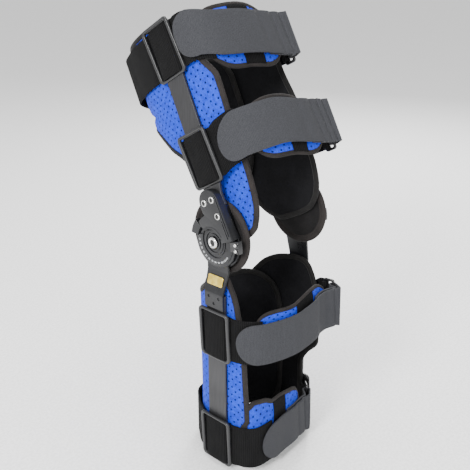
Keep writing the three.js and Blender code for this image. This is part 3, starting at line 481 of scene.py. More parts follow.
def lerp(a, b, share):
    return a + (b - a) * share


def guide_face(limb, side, s):
    return limb["guide"] + limb["flare"][side] * abs(s)


def wrap_out(limb, side, s):
    free = guide_face(limb, side, s) - UNDER_BAR - WALL / 2
    return lerp(limb["knee"], free, smoothstep(limb["up"] * s, limb["tuck"], limb["tuck"] + TUCK_REACH))


def section_point(limb, s, angle, offset):
    outer = wrap_out(limb, OUTER, s)
    inner = wrap_out(limb, INNER, s) - HALF_STEP
    half_depth = limb["depth"] / 2
    lean = (wrap_out(limb, OUTER, s + 1) - wrap_out(limb, OUTER, s - 1)) / 2
    power = 2 / SECTION_POWER
    across = math.copysign(abs(math.sin(angle)) ** power, math.sin(angle))
    along = math.copysign(abs(math.cos(angle)) ** power, math.cos(angle))
    return Vector((
        (inner - outer) / 2 - ((inner + outer) / 2 + offset * math.hypot(1, lean)) * across,
        limb["back"] - half_depth + (half_depth + offset) * along,
        s,
    ))


LIMBS = {"thigh": THIGH, "calf": CALF}
TRACK_STEPS = 180


@functools.lru_cache(maxsize=None)
def track(name, level):
    """Angles and runs along a section, from the middle of the outer side towards the back."""
    limb = LIMBS[name]
    rows, run, last = [], 0.0, None
    for i in range(TRACK_STEPS + 1):
        angle = math.pi * (1 - 2 * i / TRACK_STEPS)
        point = section_point(limb, level, angle, 0)
        if last is not None:
            run += (point - last).length
        last = point
        rows.append((angle, run))
    middle = rows[TRACK_STEPS // 4][1]
    return [(angle, run - middle) for angle, run in rows]


def angle_at(limb, s, run):
    rows = track(limb["name"], round(s))
    low, high = 0, len(rows) - 1
    while high - low > 1:
        mid = (low + high) // 2
        if rows[mid][1] <= run:
            low = mid
        else:
            high = mid
    (a0, r0), (a1, r1) = rows[low], rows[high]
    return lerp(a0, a1, (run - r0) / (r1 - r0))


def girth(limb, s):
    rows = track(limb["name"], round(s))
    return rows[-1][1] - rows[0][1]


def along_section(limb, s, run, offset):
    return section_point(limb, s, angle_at(limb, s, run), offset)


def run_at_depth(limb, s, y):
    half = limb["depth"] / 2
    share = min(max((y - limb["back"] + half) / half, -1), 1)
    angle = math.acos(math.copysign(abs(share) ** (SECTION_POWER / 2), share))
    rows = track(limb["name"], round(s))
    for (a0, r0), (a1, r1) in zip(rows, rows[1:]):
        if a1 <= angle <= a0:
            return lerp(r0, r1, (a0 - angle) / (a0 - a1))
    return rows[-1][1]


def outward(limb, s, run, offset):
    """Unit normal of a section's surface, facing away from the leg."""
    along = along_section(limb, s, run + 1, offset) - along_section(limb, s, run - 1, offset)
    up = along_section(limb, s + 1, run, offset) - along_section(limb, s - 1, run, offset)
    normal = along.cross(up).normalized()
    centre = Vector((0, limb["back"] - limb["depth"] / 2, s))
    return normal if normal.dot(along_section(limb, s, run, offset) - centre) > 0 else -normal


def curve_through(rows, at):
    """Smooth value through rows of (at, value) that never overshoots them."""
    if at <= rows[0][0]:
        return rows[0][1]
    if at >= rows[-1][0]:
        return rows[-1][1]
    slopes = [(b[1] - a[1]) / (b[0] - a[0]) for a, b in zip(rows, rows[1:])]
    i = max(k for k in range(len(rows) - 1) if rows[k][0] <= at)

    def tangent(k):
        if k == 0:
            return slopes[0]
        if k == len(rows) - 1:
            return slopes[-1]
        a, b = slopes[k - 1], slopes[k]
        return 0.0 if a * b <= 0 else 2 * a * b / (a + b)

    (x0, y0), (x1, y1) = rows[i], rows[i + 1]
    h = x1 - x0
    t = (at - x0) / h
    return (
        (1 + 2 * t) * (1 - t) ** 2 * y0 + t * (1 - t) ** 2 * h * tangent(i)
        + t * t * (3 - 2 * t) * y1 + t * t * (t - 1) * h * tangent(i + 1)
    )


# Wraps
# Edges by column: (at, knee, far), at from the front edge through the side to the far end past the back,
# knee and far as shares of the wrap's height. front: (up, y) of the front edge, y in shares of the depth.
WRAPS = [
    dict(
        name="thigh_wrap_outer", limb=THIGH, side=OUTER, reach=0.445, dart=True,
        front=[(0, -0.31), (0.12, -0.335), (0.3, -0.36), (0.65, -0.38), (0.78, -0.31), (1, -0.31)],
        columns=[(-1, 0.05, 0.92), (-0.93, 0.03, 0.925), (-0.78, -0.015, 0.945), (-0.45, -0.036, 0.97),
                 (-0.15, -0.03, 0.99), (0.03, 0.03, 1), (0.06, 0.17, 1), (0.085, 0.29, 1), (0.12, 0.38, 1),
                 (0.2, 0.45, 1), (0.26, 0.51, 1), (0.35, 0.57, 1), (0.46, 0.59, 1), (0.58, 0.57, 0.97),
                 (0.66, 0.49, 0.94), (0.72, 0.37, 0.92), (0.78, 0.26, 0.9), (0.84, 0.21, 0.88),
                 (0.9, 0.215, 0.87), (0.96, 0.27, 0.84), (1, 0.36, 0.78)],
    ),
    dict(
        name="thigh_wrap_inner", limb=THIGH, side=INNER, reach=0.27, dart=False,
        front=[(0, -0.33), (0.21, -0.372), (0.5, -0.325), (0.65, -0.29), (1, -0.27)],
        columns=[(-1, 0.17, 0.86), (-0.9, 0.08, 0.875), (-0.72, 0.02, 0.88), (-0.45, -0.015, 0.88),
                 (-0.1, -0.022, 0.885), (0.14, -0.018, 0.89), (0.25, 0.012, 0.9), (0.34, 0.07, 0.91),
                 (0.4, 0.15, 0.92), (0.46, 0.3, 0.93), (0.55, 0.44, 0.945), (0.68, 0.56, 0.965),
                 (0.85, 0.59, 0.985), (0.96, 0.6, 0.98), (1, 0.63, 0.95)],
    ),
    dict(
        name="calf_wrap_outer", limb=CALF, side=OUTER, reach=0.46, dart=False,
        front=[(0, -0.2), (0.3, -0.25), (0.42, -0.29), (0.6, -0.31), (0.78, -0.33), (0.84, -0.27), (1, -0.25)],
        columns=[(-1, 0.29, 0.99), (-0.82, 0.225, 1), (-0.6, 0.185, 1), (-0.35, 0.15, 1), (0, 0.13, 1),
                 (0.05, 0.13, 1), (0.1, 0.145, 1), (0.14, 0.175, 1), (0.18, 0.225, 1), (0.24, 0.255, 1),
                 (0.35, 0.275, 1), (0.54, 0.285, 1), (0.7, 0.285, 1), (0.83, 0.305, 1), (0.9, 0.335, 0.99),
                 (0.96, 0.38, 0.97), (1, 0.46, 0.92)],
    ),
    dict(
        name="calf_wrap_inner", limb=CALF, side=INNER, reach=0.31, dart=False,
        front=[(0.25, -0.26), (0.45, -0.34), (0.57, -0.33), (0.66, -0.18), (0.72, -0.12), (1, -0.12)],
        columns=[(-1, 0.33, 0.99), (-0.85, 0.262, 1), (-0.6, 0.222, 1), (-0.3, 0.205, 1), (0, 0.202, 1),
                 (0.2, 0.218, 1), (0.34, 0.248, 1), (0.42, 0.285, 1), (0.5, 0.325, 1), (0.65, 0.36, 1),
                 (0.85, 0.38, 1), (1, 0.42, 0.98)],
    ),
]
WRAP_COLUMNS, WRAP_ROWS = 150, 44
INSET = 1.2            # the binding's outside stands on the wrap's edge, so the wrap ends this much inside it


def wrap_place(wrap, u, v):
    """Run and level of a wrap's point, u and v from 0 to 1."""
    limb = wrap["limb"]
    at = -1 + 2 * u
    knee = curve_through([(c[0], c[1]) for c in wrap["columns"]], at) * limb["height"] + INSET
    far = curve_through([(c[0], c[2]) for c in wrap["columns"]], at) * limb["height"] - INSET
    half = (far - knee) / 2
    for away, corner in ((u, 0.05), (1 - u, 0.045)):
        if away < corner:
            drop = half * 0.16 * (1 - math.sqrt(1 - (1 - away / corner) ** 2))
            knee += drop
            far -= drop
    up = lerp(knee, far, v)
    s = limb["up"] * up
    if at < 0:
        edge = curve_through(wrap["front"], up / limb["height"]) * limb["depth"] + INSET
        run = at * (limb["back"] - limb["depth"] / 2 - edge)
    else:
        run = at * (wrap["reach"] * girth(limb, s) - INSET)
    if wrap["side"] == INNER:
        run = girth(limb, s) / 2 - run
    return s, run


def wrap_offset(wrap, s, run):
    """Offset of the wall's middle, with the soft swell and the dart that the cloth has."""
    base = 0 if wrap["side"] == OUTER else HALF_STEP
    swell = 0.25 * math.sin(run / 19 + s / 31) * math.sin(s / 23 - run / 47)
    if wrap["dart"]:
        behind = smoothstep(run, 30, 62) * (1 - smoothstep(run, 110, 140))
        fold = math.exp(-((s - 150 - (run - 70) * 0.12) / 3.6) ** 2)
        bulge = math.exp(-((s - 166) / 11) ** 2)
        swell += (0.7 * bulge - 2.6 * fold) * behind
    return base + swell


def wrap_point(wrap, u, v):
    s, run = wrap_place(wrap, u, v)
    return along_section(wrap["limb"], s, run, wrap_offset(wrap, s, run))


def grid_piece(columns, rows):
    """A flat grid whose vertices carry (u, v) from 0 to 1 in x and y."""
    bm = bmesh.new()
    bmesh.ops.create_grid(bm, x_segments=columns, y_segments=rows, size=0.5)
    moved(bm, (0.5, 0.5, 0))
    return bm


def laid_out(bm, place, cut):
    """Moves a grid's vertices to place(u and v)."""
    layer = bm.loops.layers.uv.new("cloth")
    flat = {v: (v.co.x, v.co.y) for v in bm.verts}
    for face in bm.faces:
        for loop in face.loops:
            loop[layer].uv = cut(*flat[loop.vert])
    for vert, (u, v) in flat.items():
        vert.co = place(u, v)
    return bm


def loop_along(points, section, second=None):
    """Sweeps a closed section, given as (in, out) pairs per point, along a loop of (place, inward, outward)."""
    count, sides = len(points), len(section)
    bm = bmesh.new()
    bmesh.ops.create_grid(bm, x_segments=count, y_segments=sides, size=0.5)
    layer = bm.loops.layers.uv.new("cloth")
    bm.verts.ensure_lookup_table()
    runs = [0.0]
    for i in range(count):
        runs.append(runs[-1] + (points[(i + 1) % count][0] - points[i][0]).length)
    index = {}
    for vert in bm.verts:
        index[vert] = (round((vert.co.x + 0.5) * count), round((vert.co.y + 0.5) * sides))
    for face in bm.faces:
        face.material_index = int(bool(second) and second(min(index[vert][0] for vert in face.verts)))
        for loop in face.loops:
            i, j = index[loop.vert]
            loop[layer].uv = (runs[i] * MM, j * 2.2 * MM)
    for vert, (i, j) in index.items():
        place, inward, out = points[i % count]
        a, b = section[j % sides]
        vert.co = place + inward * a + out * b
    bmesh.ops.remove_doubles(bm, verts=bm.verts, dist=1e-4)
    bmesh.ops.recalc_face_normals(bm, faces=bm.faces)
    return bm


BINDING_SECTION = [(4.9, 1.1), (4.6, 1.8), (3.2, 2.15), (1.0, 2.1), (-0.6, 1.5), (-1.2, 0.0), (-0.6, -1.5),
                   (1.0, -2.1), (3.2, -2.15), (4.6, -1.8), (4.9, -1.1), (4.0, 0.0)]


def rim_of(edge, point, normal):
    """Frames round a loop of (u, v): place, direction into the cloth, direction out of it."""
    places = [point(u, v) for u, v in edge]
    rim = []
    for i, (u, v) in enumerate(edge):
        ahead = (places[(i + 1) % len(edge)] - places[i - 1]).normalized()
        out = normal(u, v)
        inward = out.cross(ahead).normalized()
        middle = point(lerp(u, 0.5, 0.04), lerp(v, 0.5, 0.06))
        if inward.dot(middle - places[i]) < 0:
            inward = -inward
        rim.append((places[i], inward, out))
    return rim


def edge_loop(columns, rows):
    """The four sides of a grid as one loop of (u, v)."""
    loop = [(i / columns, 0.0) for i in range(columns)]
    loop += [(1.0, j / rows) for j in range(rows)]
    loop += [(1 - i / columns, 1.0) for i in range(columns)]
    loop += [(0.0, 1 - j / rows) for j in range(rows)]
    return loop


def wrap_normal(wrap, u, v):
    s, run = wrap_place(wrap, u, v)
    return outward(wrap["limb"], s, run, wrap_offset(wrap, s, run))


def make_wrap(wrap):
    """The foam sheet with its lining, and the binding round its edge."""
    limb = wrap["limb"]

    def cut(u, v):
        s, run = wrap_place(wrap, u, v)
        return run * MM, s * MM

    sheet = laid_out(grid_piece(WRAP_COLUMNS, WRAP_ROWS), lambda u, v: wrap_point(wrap, u, v), cut)
    sheet.normal_update()
    sheet.faces.ensure_lookup_table()
    middle = sheet.faces[len(sheet.faces) // 2]
    centre = Vector((0, limb["back"] - limb["depth"] / 2, middle.calc_center_median().z))
    if middle.normal.dot(middle.calc_center_median() - centre) < 0:
        bmesh.ops.reverse_faces(sheet, faces=sheet.faces)
    made = piece(wrap["name"] + "_foam", sheet, limb, [FOAM, LINING, BINDING], "foam", [wrap["name"]])
    wall = thickened(made, WALL)
    wall.material_offset = 1
    wall.material_offset_rim = 2
    line = edge_loop(WRAP_COLUMNS, 40)
    rim = rim_of(line, lambda u, v: wrap_point(wrap, u, v), lambda u, v: wrap_normal(wrap, u, v))
    band = loop_along(rim, BINDING_SECTION, lambda i: wrap["side"] == INNER or line[i % len(line)][0] > 0.5)
    piece(wrap["name"] + "_binding", band, limb, [BINDING, BLACK_BINDING], "padding", smooth=60)


# Straps
# Route and ring: across in shares of the guides' stand-off, ahead in shares of the depth. Lift: (across, rise in
# shares of the strap's width). Tip and lap: how far the front and the loop strap reach along the route, in mm.
# Pad and patch: from and to along the route and along the pad. Top: (along, mm) added to the pad's upper edge.
# Blunt: how square the pad's ends are. Drop: how much lower the inner guide sits. Heading: the ring's direction.
# Creases: (distance before the fold, width, depth) in mm.
STRAPS = [
    dict(
        place="upper_thigh", limb=THIGH, s=197.6, tip=0.0, lap=34.0, round=True, drop=19.0,
        pad=(0.16, 0.88), pad_lift=-1.0, scale=1.0, patch=(0.42, 0.68), blunt=3, top=[(0, 0), (1, 0)],
        creases=[(9, 2.0, 1.7), (21, 2.6, 1.2), (40, 5, 0.8)],
        route=[(-0.82, -0.26), (-0.75, -0.33), (-0.54, -0.389), (-0.15, -0.415), (0.31, -0.42), (0.78, -0.412)],
        lift=[(-0.8, 0), (-0.5, -0.15), (0, -0.22), (0.95, -0.38)], ring=(1.05, -0.345), heading=-82,
    ),
    dict(
        place="lower_thigh", limb=THIGH, s=83.2, tip=9.0, lap=34.0, round=False, drop=0.0,
        pad=(0.25, 0.88), pad_lift=-3.0, scale=0.92, patch=(0.46, 0.66), blunt=3, top=[(0, 0), (1, 0)],
        creases=[(6, 1.7, 1.8), (14, 1.9, 1.7), (25, 2.6, 1.4), (46, 6, 0.9)],
        route=[(-0.87, -0.27), (-0.8, -0.344), (-0.585, -0.433), (-0.185, -0.494), (0.31, -0.51), (0.7, -0.5)],
        lift=[(-0.95, 0), (-0.75, 0.14), (-0.3, 0.14), (0.3, 0), (1.05, -0.16)], ring=(0.98, -0.43), heading=-82,
    ),
    dict(
        place="upper_calf", limb=CALF, s=-104.0, tip=7.0, lap=34.0, round=False, drop=0.0,
        pad=(0.17, 0.9), pad_lift=8.0, scale=1.0, patch=(0.45, 0.72), blunt=3,
        top=[(0, 0), (0.2, -7), (0.45, -12), (0.7, -9), (0.9, -3), (1, 0)],
        creases=[(6, 2, 1.6), (34, 5, 1.1)],
        route=[(-0.95, -0.24), (-0.886, -0.328), (-0.714, -0.426), (-0.286, -0.525), (0, -0.533), (0.286, -0.508),
               (0.571, -0.467)],
        lift=[(-1, 0), (-0.5, 0.04), (0, 0.13), (0.4, 0.16), (1, 0.14)], ring=(0.87, -0.4), heading=-80,
    ),
    dict(
        place="lower_calf", limb=CALF, s=-233.0, tip=33.0, lap=50.0, round=True, drop=0.0,
        pad=(0.1, 0.9), pad_lift=9.0, scale=1.0, patch=(0.45, 0.68), blunt=9,
        top=[(0, 16), (0.3, 12), (0.5, 2), (0.8, 0), (1, 0)],
        creases=[(8, 2.2, 1.5), (22, 3, 1.0)],
        route=[(-0.97, -0.24), (-0.93, -0.3), (-0.79, -0.37), (-0.5, -0.385), (-0.214, -0.36), (0.071, -0.35),
               (0.357, -0.32)],
        lift=[(-1, 0), (1, 0)], ring=(0.67, -0.235), heading=-130,
    ),
]
LAYER = STRAP + LAP_ROOM
STRAP_OFFSET = WALL / 2 + LAP_ROOM + STRAP / 2
BAR_TURN = RING_BAR * 0.75 + 3 * FIT + STRAP / 2
RETURN_LAP = 42.0
FOLD_END = 0.985       # share of the front route where the outer layer reaches its fold round the ring
WOVEN_EDGE = 0.45
ROUND_STEPS, SHORT_STEPS = 360, 110


def spline(points, count):
    """Centripetal curve through flat points, resampled evenly."""
    dense = []
    for i in range(len(points) - 1):
        p0 = points[max(i - 1, 0)]
        p1, p2 = points[i], points[i + 1]
        p3 = points[min(i + 2, len(points) - 1)]
        for k in range(12):
            t = k / 12
            square, cube = (2 * p0 - 5 * p1 + 4 * p2 - p3) * t * t, (3 * p1 - p0 - 3 * p2 + p3) * t ** 3
            dense.append(0.5 * (2 * p1 + (p2 - p0) * t + square + cube))
    dense.append(points[-1])
    return resampled(dense, count)


def resampled(points, count):
    runs = [0.0]
    for a, b in zip(points, points[1:]):
        runs.append(runs[-1] + (b - a).length)
    result, k = [], 0
    for i in range(count + 1):
        want = runs[-1] * i / count
        while k < len(points) - 2 and runs[k + 1] < want:
            k += 1
        span = runs[k + 1] - runs[k]
        result.append(points[k].lerp(points[k + 1], (want - runs[k]) / span if span else 0))
    return result


def length_of(points):
    return sum((b - a).length for a, b in zip(points, points[1:]))


def flat(x, y):
    return Vector((x, y))


def guide_points(limb, side, s):
    under = -(GUIDE_THICK + 2 * FIT + STRAP / 2)
    over = -(GUIDE_THICK - STRAP / 2)
    between = (GUIDE_WIDTH / 2 - GUIDE_RAIL + BAR_WIDTH / 2) / 2
    half = [(GUIDE_WIDTH / 2 + 1, under - 0.4), (GUIDE_WIDTH / 2 - GUIDE_RAIL / 2, under),
            (between + 1.1, under + 0.5), (between - 0.6, over - 0.6), (between - 3.4, over + 1.1)]
    rows = [(-y, out) for y, out in half] + [(0, over + 2.0)] + half[::-1]
    return [flat(side * (guide_face(limb, side, s) + out), limb["bar"] + y) for y, out in rows]


def ring_place(strap):
    limb = strap["limb"]
    centre = flat(strap["ring"][0] * limb["guide"], strap["ring"][1] * limb["depth"])
    heading = math.radians(strap["heading"])
    return centre, flat(math.cos(heading), math.sin(heading))


def turn_round(strap, way):
    centre, along = ring_place(strap)
    out = flat(-along.y, along.x)
    middle = centre + along * (way * (RING_LENGTH - RING_BAR) / 2)
    points = []
    for i in range(9):
        angle = math.pi * i / 8
        points.append(middle + out * (BAR_TURN * math.cos(angle)) - along * (way * BAR_TURN * math.sin(angle)))
    return points


def front_route(strap, s):
    """Middle line of the loop strap's level from the outer guide to the ring, as 160 even steps."""
    limb = strap["limb"]
    centre, along = ring_place(strap)
    points = [guide_points(limb, OUTER, s)[0]]
    points += [flat(a * limb["guide"], b * limb["depth"]) for a, b in strap["route"]]
    points.append(centre + along * (RING_LENGTH / 2 + RING_BAR * 2))
    return spline(points, 160)


def stretch(route, start, end, count, offset):
    result = []
    for i in range(count + 1):
        at = lerp(start, end, i / count) * (len(route) - 1)
        k = min(int(at), len(route) - 2)
        point = route[k].lerp(route[k + 1], at - k)
        heading = (route[min(k + 2, len(route) - 1)] - route[max(k - 1, 0)]).normalized()
        result.append(point + flat(heading.y, -heading.x) * offset)
    return result


def rise_at(strap, x, y):
    limb = strap["limb"]
    front_edge = limb["bar"] - GUIDE_WIDTH / 2
    across = curve_through(strap["lift"], x / limb["guide"]) * STRAP_WIDTH
    back = -strap["drop"] * smoothstep(x / limb["guide"], -0.8, 0.8)
    return lerp(across, back, smoothstep(y, front_edge - 14, front_edge))


def inner_end(strap, s):
    guided = guide_points(strap["limb"], INNER, s - strap["drop"])[::-1]
    turn = turn_round(strap, -1)
    along = ring_place(strap)[1]
    return guided + turn + [turn[-1] - along * (RING_BAR / 3)]


def round_back(strap, s):
    limb = strap["limb"]
    run = run_at_depth(limb, s, limb["bar"] + GUIDE_WIDTH / 2 + GUIDE_RAIL * 1.5)
    whole = girth(limb, s) / 2
    points = []
    for i in range(41):
        at = lerp(run, whole - run, i / 40)
        step = HALF_STEP * smoothstep(at / (2 * whole), 0.12, 0.18)
        point = along_section(limb, s, at, STRAP_OFFSET + step)
        points.append(flat(point.x, point.y))
    return points


def loop_line(strap, s):
    route = front_route(strap, s)
    front = stretch(route, strap["lap"] / length_of(route), 0, 16, 0)[:-1]
    line = front + guide_points(strap["limb"], OUTER, s)
    if strap["round"]:
        line += round_back(strap, s) + inner_end(strap, s)
    return line


def front_line(strap):
    route = front_route(strap, strap["s"])
    length = length_of(route)
    outside = stretch(route, strap["tip"] / length, FOLD_END, 60, LAYER)
    inside = stretch(route, 0.96, 1 - RETURN_LAP / length, 14, 0)
    return outside + turn_round(strap, 1) + inside


def ribbon(name, strap, low_line, high_line, width, columns, finish, slot, replaced, half, wave=None):
    """A woven strap between two level lines, each made of the same number of even steps.

    half gives the share of the width by run, wave the shift out of the line by run and place across.
    """
    limb, middle = strap["limb"], strap["s"]
    low, high = spline(low_line, columns), spline(high_line, columns)
    length = length_of(low)

    def place(u, v):
        i = round(u * columns)
        point = low[i].lerp(high[i], v)
        level = (v - 0.5) * width * half(u * length)
        shift = wave(u * length, (v - 0.5) * width) if wave else 0.0
        ahead = (high[min(i + 1, columns)] - high[max(i - 1, 0)]).normalized()
        point = point + flat(ahead.y, -ahead.x) * shift
        return Vector((point.x, point.y, middle + level + rise_at(strap, point.x, point.y)))

    def cut(u, v):
        return u * length * MM, (v - 0.5) * width * half(u * length) * MM

    bm = laid_out(grid_piece(columns, 12), place, cut)
    made = piece(name, bm, limb, [finish], slot, [replaced])
    thickened(made, STRAP)
    bevelled(made, WOVEN_EDGE, 50)


def rounded_tip(radius):
    """A strap's half-round end."""
    def half(run):
        way = min(run / radius, 1)
        return max(math.sqrt(max(1 - (1 - way) ** 2, 0)), 0.04)
    return half


def filled_window(starts):
    """A strap swells a little where it fills the window of a guide."""
    def half(run):
        return 1 + 0.05 * max(smoothstep(run, a, a + 5) * (1 - smoothstep(run, a + 35, a + 40)) for a in starts)
    return half


def front_wave(creases, fold):
    """Slack and creases of a front strap: (distance before the fold, width, depth) each, in mm."""
    def wave(run, across):
        before = fold - run
        shift = 0.3 * math.sin(run / 11 + across / 26) * smoothstep(before, 2, 20) * smoothstep(run, 10, 40)
        for away, wide, deep in creases:
            shift -= deep * math.exp(-((before - away - across * 0.07) / wide) ** 2)
        return shift - 0.5 * (1 - smoothstep(run, 4, 26))
    return wave


def make_strap(strap):
    """The elastic loop, the ring's own elastic where the loop isn't round the back, and the front strap."""
    place, closed = strap["place"], strap["round"]
    low, high = strap["s"] - STRAP_WIDTH / 2, strap["s"] + STRAP_WIDTH / 2
    ends = inner_end(strap, low), inner_end(strap, high)
    loop = loop_line(strap, low), loop_line(strap, high)
    windows = [strap["lap"] + 3]
    if closed:
        windows.append(length_of(spline(loop[0], ROUND_STEPS)) - length_of(spline(ends[0], SHORT_STEPS)) + 3)
    steps = ROUND_STEPS if closed else SHORT_STEPS
    ribbon(f"loop_strap_{place}_elastic", strap, *loop, STRAP_WIDTH, steps, ELASTIC, "elastic",
           f"loop_strap_{place}", filled_window(windows))
    if not closed:
        ribbon(f"ring_strap_{place}_elastic", strap, *ends, STRAP_WIDTH, SHORT_STEPS, ELASTIC, "elastic",
               f"ring_strap_{place}", filled_window([3]))
    line = front_line(strap)
    route = front_route(strap, strap["s"])
    fold = length_of(stretch(route, strap["tip"] / length_of(route), FOLD_END, 60, LAYER))
    ribbon(f"front_strap_{place}_webbing", strap, line, line, FRONT_WIDTH, 300, WEBBING, "webbing",
           f"front_strap_{place}", rounded_tip(FRONT_WIDTH / 2), front_wave(strap["creases"], fold))


# Strap pads
PAD_OFFSET = -(STRAP / 2 + 2 * FIT + PAD_THICK / 2)


def pad_form(strap):
    """Place and outward normal of a pad's middle surface, u along the route and v up."""
    route = front_route(strap, strap["s"])
    start, end = strap["pad"]
    line = stretch(route, start, end, 120, PAD_OFFSET)
    length = length_of(line)

    def half(u):
        return max(0.26, (1 - abs(2 * u - 1) ** strap["blunt"]) ** 0.5)

    def point(u, v):
        i = min(max(u, 0), 1) * 120
        k = min(int(i), 119)
        flat_point = line[k].lerp(line[k + 1], i - k)
        bend = 1.2 * math.sin(u * 9 + v * 2)
        level = (v - 0.5) * (PAD_HEIGHT - 2) * strap["scale"] * half(u) + bend * (v - 0.5) * 2
        level += max(v - 0.5, 0) * 2 * curve_through(strap["top"], u) * half(u)
        s = strap["s"] + strap["pad_lift"] + level
        return Vector((flat_point.x, flat_point.y, s + rise_at(strap, flat_point.x, flat_point.y)))

    def normal(u, v):
        along = point(min(u + 0.02, 1), v) - point(max(u - 0.02, 0), v)
        up = point(u, min(v + 0.02, 1)) - point(u, max(v - 0.02, 0))
        return up.cross(along).normalized()

    return point, normal, length


def make_pad(strap):
    """A cushion under a front strap, with its binding and the cloth patch that the strap is sewn to."""
    limb, name = strap["limb"], f"strap_pad_{strap['place']}"
    point, normal, length = pad_form(strap)
    flip = 1 if normal(0.5, 0.5).y < 0 else -1

    def crowned(u, v, way):
        edge = min(min(u, 1 - u) * length, min(v, 1 - v) * PAD_HEIGHT)
        crown = smoothstep(edge, 0, 13)
        return point(u, v) + normal(u, v) * (flip * way * lerp(1.2, PAD_THICK / 2, crown))

    sheets = []
    for way in (1, -1):
        bm = laid_out(
            grid_piece(60, 30), lambda u, v, w=way: crowned(u, v, w),
            lambda u, v: (u * length * MM, v * PAD_HEIGHT * MM))
        for face in bm.faces:
            face.material_index = 0 if way > 0 else 1
        sheets.append(bm)
    whole = joined(sheets)
    bmesh.ops.bridge_loops(whole, edges=[e for e in whole.edges if e.is_boundary])
    bmesh.ops.recalc_face_normals(whole, faces=whole.faces)
    pad = piece(f"{name}_cushion", whole, limb, [FOAM, LINING], "foam", [name])
    rim = rim_of(edge_loop(90, 40), point, lambda u, v: normal(u, v) * flip)
    section = [(a, b * 0.72) for a, b in BINDING_SECTION]
    piece(f"{name}_binding", loop_along(rim, section), limb, [BINDING], "padding", smooth=60)
    start, end = strap["patch"]

    def on_pad(u, v):
        at = lerp(start, end, u)
        return crowned(at, lerp(0.03, 0.97, v), 1) + normal(at, v) * (flip * 0.35)

    patch = laid_out(
        grid_piece(24, 24), on_pad, lambda u, v: (u * length * (end - start) * MM, v * PAD_HEIGHT * MM))
    thickened(piece(f"{name}_patch", patch, limb, [ELASTIC], "padding"), 0.5)


# Hinges and hard parts
def stood_up(bm, side):
    """Turns a flat drawing (y, s, out) to stand on one side of the leg, as (side * out, y, s)."""
    swap = Matrix(((0, 0, side, 0), (1, 0, 0, 0), (0, 1, 0, 0), (0, 0, 0, 1)))
    placed(bm, swap)


def arc(cy, cs, radius, start, end, steps):
    return [
        (cy + radius * math.cos(math.radians(lerp(start, end, i / steps))),
         cs + radius * math.sin(math.radians(lerp(start, end, i / steps))))
        for i in range(steps + 1)
    ]


def rounded_outline(half_y, half_s, corner, steps=8):
    outline = []
    for cy, cs, start in ((1, -1, -90), (1, 1, 0), (-1, 1, 90), (-1, -1, 180)):
        outline += arc(cy * (half_y - corner), cs * (half_s - corner), corner, start, start + 90, steps)
    return outline


def form_of_curve(data, merge):
    """The filled form of a curve or a text, which is used up."""
    carrier = in_scene("drawing", data)
    mesh = bpy.data.meshes.new_from_object(carrier.evaluated_get(bpy.context.evaluated_depsgraph_get()))
    bm = bmesh.new()
    bm.from_mesh(mesh)
    bpy.data.meshes.remove(mesh)
    bpy.data.objects.remove(carrier)
    bpy.data.curves.remove(data)
    bmesh.ops.remove_doubles(bm, verts=bm.verts, dist=merge)
    return bm


def plate(outlines, low, high, bevel, steps=3):
    """A flat plate from outlines drawn in (y, s), standing from low to high, with rounded edges."""
    data = bpy.data.curves.new("plate", "CURVE")
    data.dimensions = "2D"
    data.fill_mode = "BOTH"
    for outline in outlines:
        line = data.splines.new("POLY")
        line.points.add(len(outline) - 1)
        for point, (y, s) in zip(line.points, outline):
            point.co = (y, s, 0, 1)
        line.use_cyclic_u = True
    data.extrude = (high - low) / 2 - bevel
    data.bevel_depth = bevel
    data.bevel_resolution = steps
    data.offset = -bevel
    bm = form_of_curve(data, 1e-4)
    moved(bm, (0, 0, (low + high) / 2))
    return bm


def on_side(bm, side, at=(0, 0), tilt=0.0, out=0.0):
    """Moves a drawing to its place and stands it up on one side of the leg."""
    if tilt:
        bmesh.ops.rotate(bm, verts=bm.verts, cent=(0, 0, 0), matrix=Matrix.Rotation(tilt, 3, "X"))
    moved(bm, (*at, out))
    stood_up(bm, side)
    bmesh.ops.recalc_face_normals(bm, faces=bm.faces)
    return bm


def lathe(profile, steps=64):
    """Spins a profile of (radius, out) about the out axis; both ends on the axis or joined up."""
    bm = bmesh.new()
    verts = [bm.verts.new((r, 0, z)) for r, z in profile]
    edges = [bm.edges.new((a, b)) for a, b in zip(verts, verts[1:])]
    bmesh.ops.spin(
        bm, geom=verts + edges, cent=(0, 0, 0), axis=(0, 0, 1), angle=2 * math.pi, steps=steps, use_merge=True)
    bmesh.ops.remove_doubles(bm, verts=bm.verts, dist=1e-4)
    bmesh.ops.dissolve_degenerate(bm, edges=bm.edges, dist=1e-5)
    return bm


def joined(parts):
    whole = bmesh.new()
    for bm in parts:
        temp = bpy.data.meshes.new("part")
        bm.to_mesh(temp)
        bm.free()
        whole.from_mesh(temp)
        bpy.data.meshes.remove(temp)
    return whole


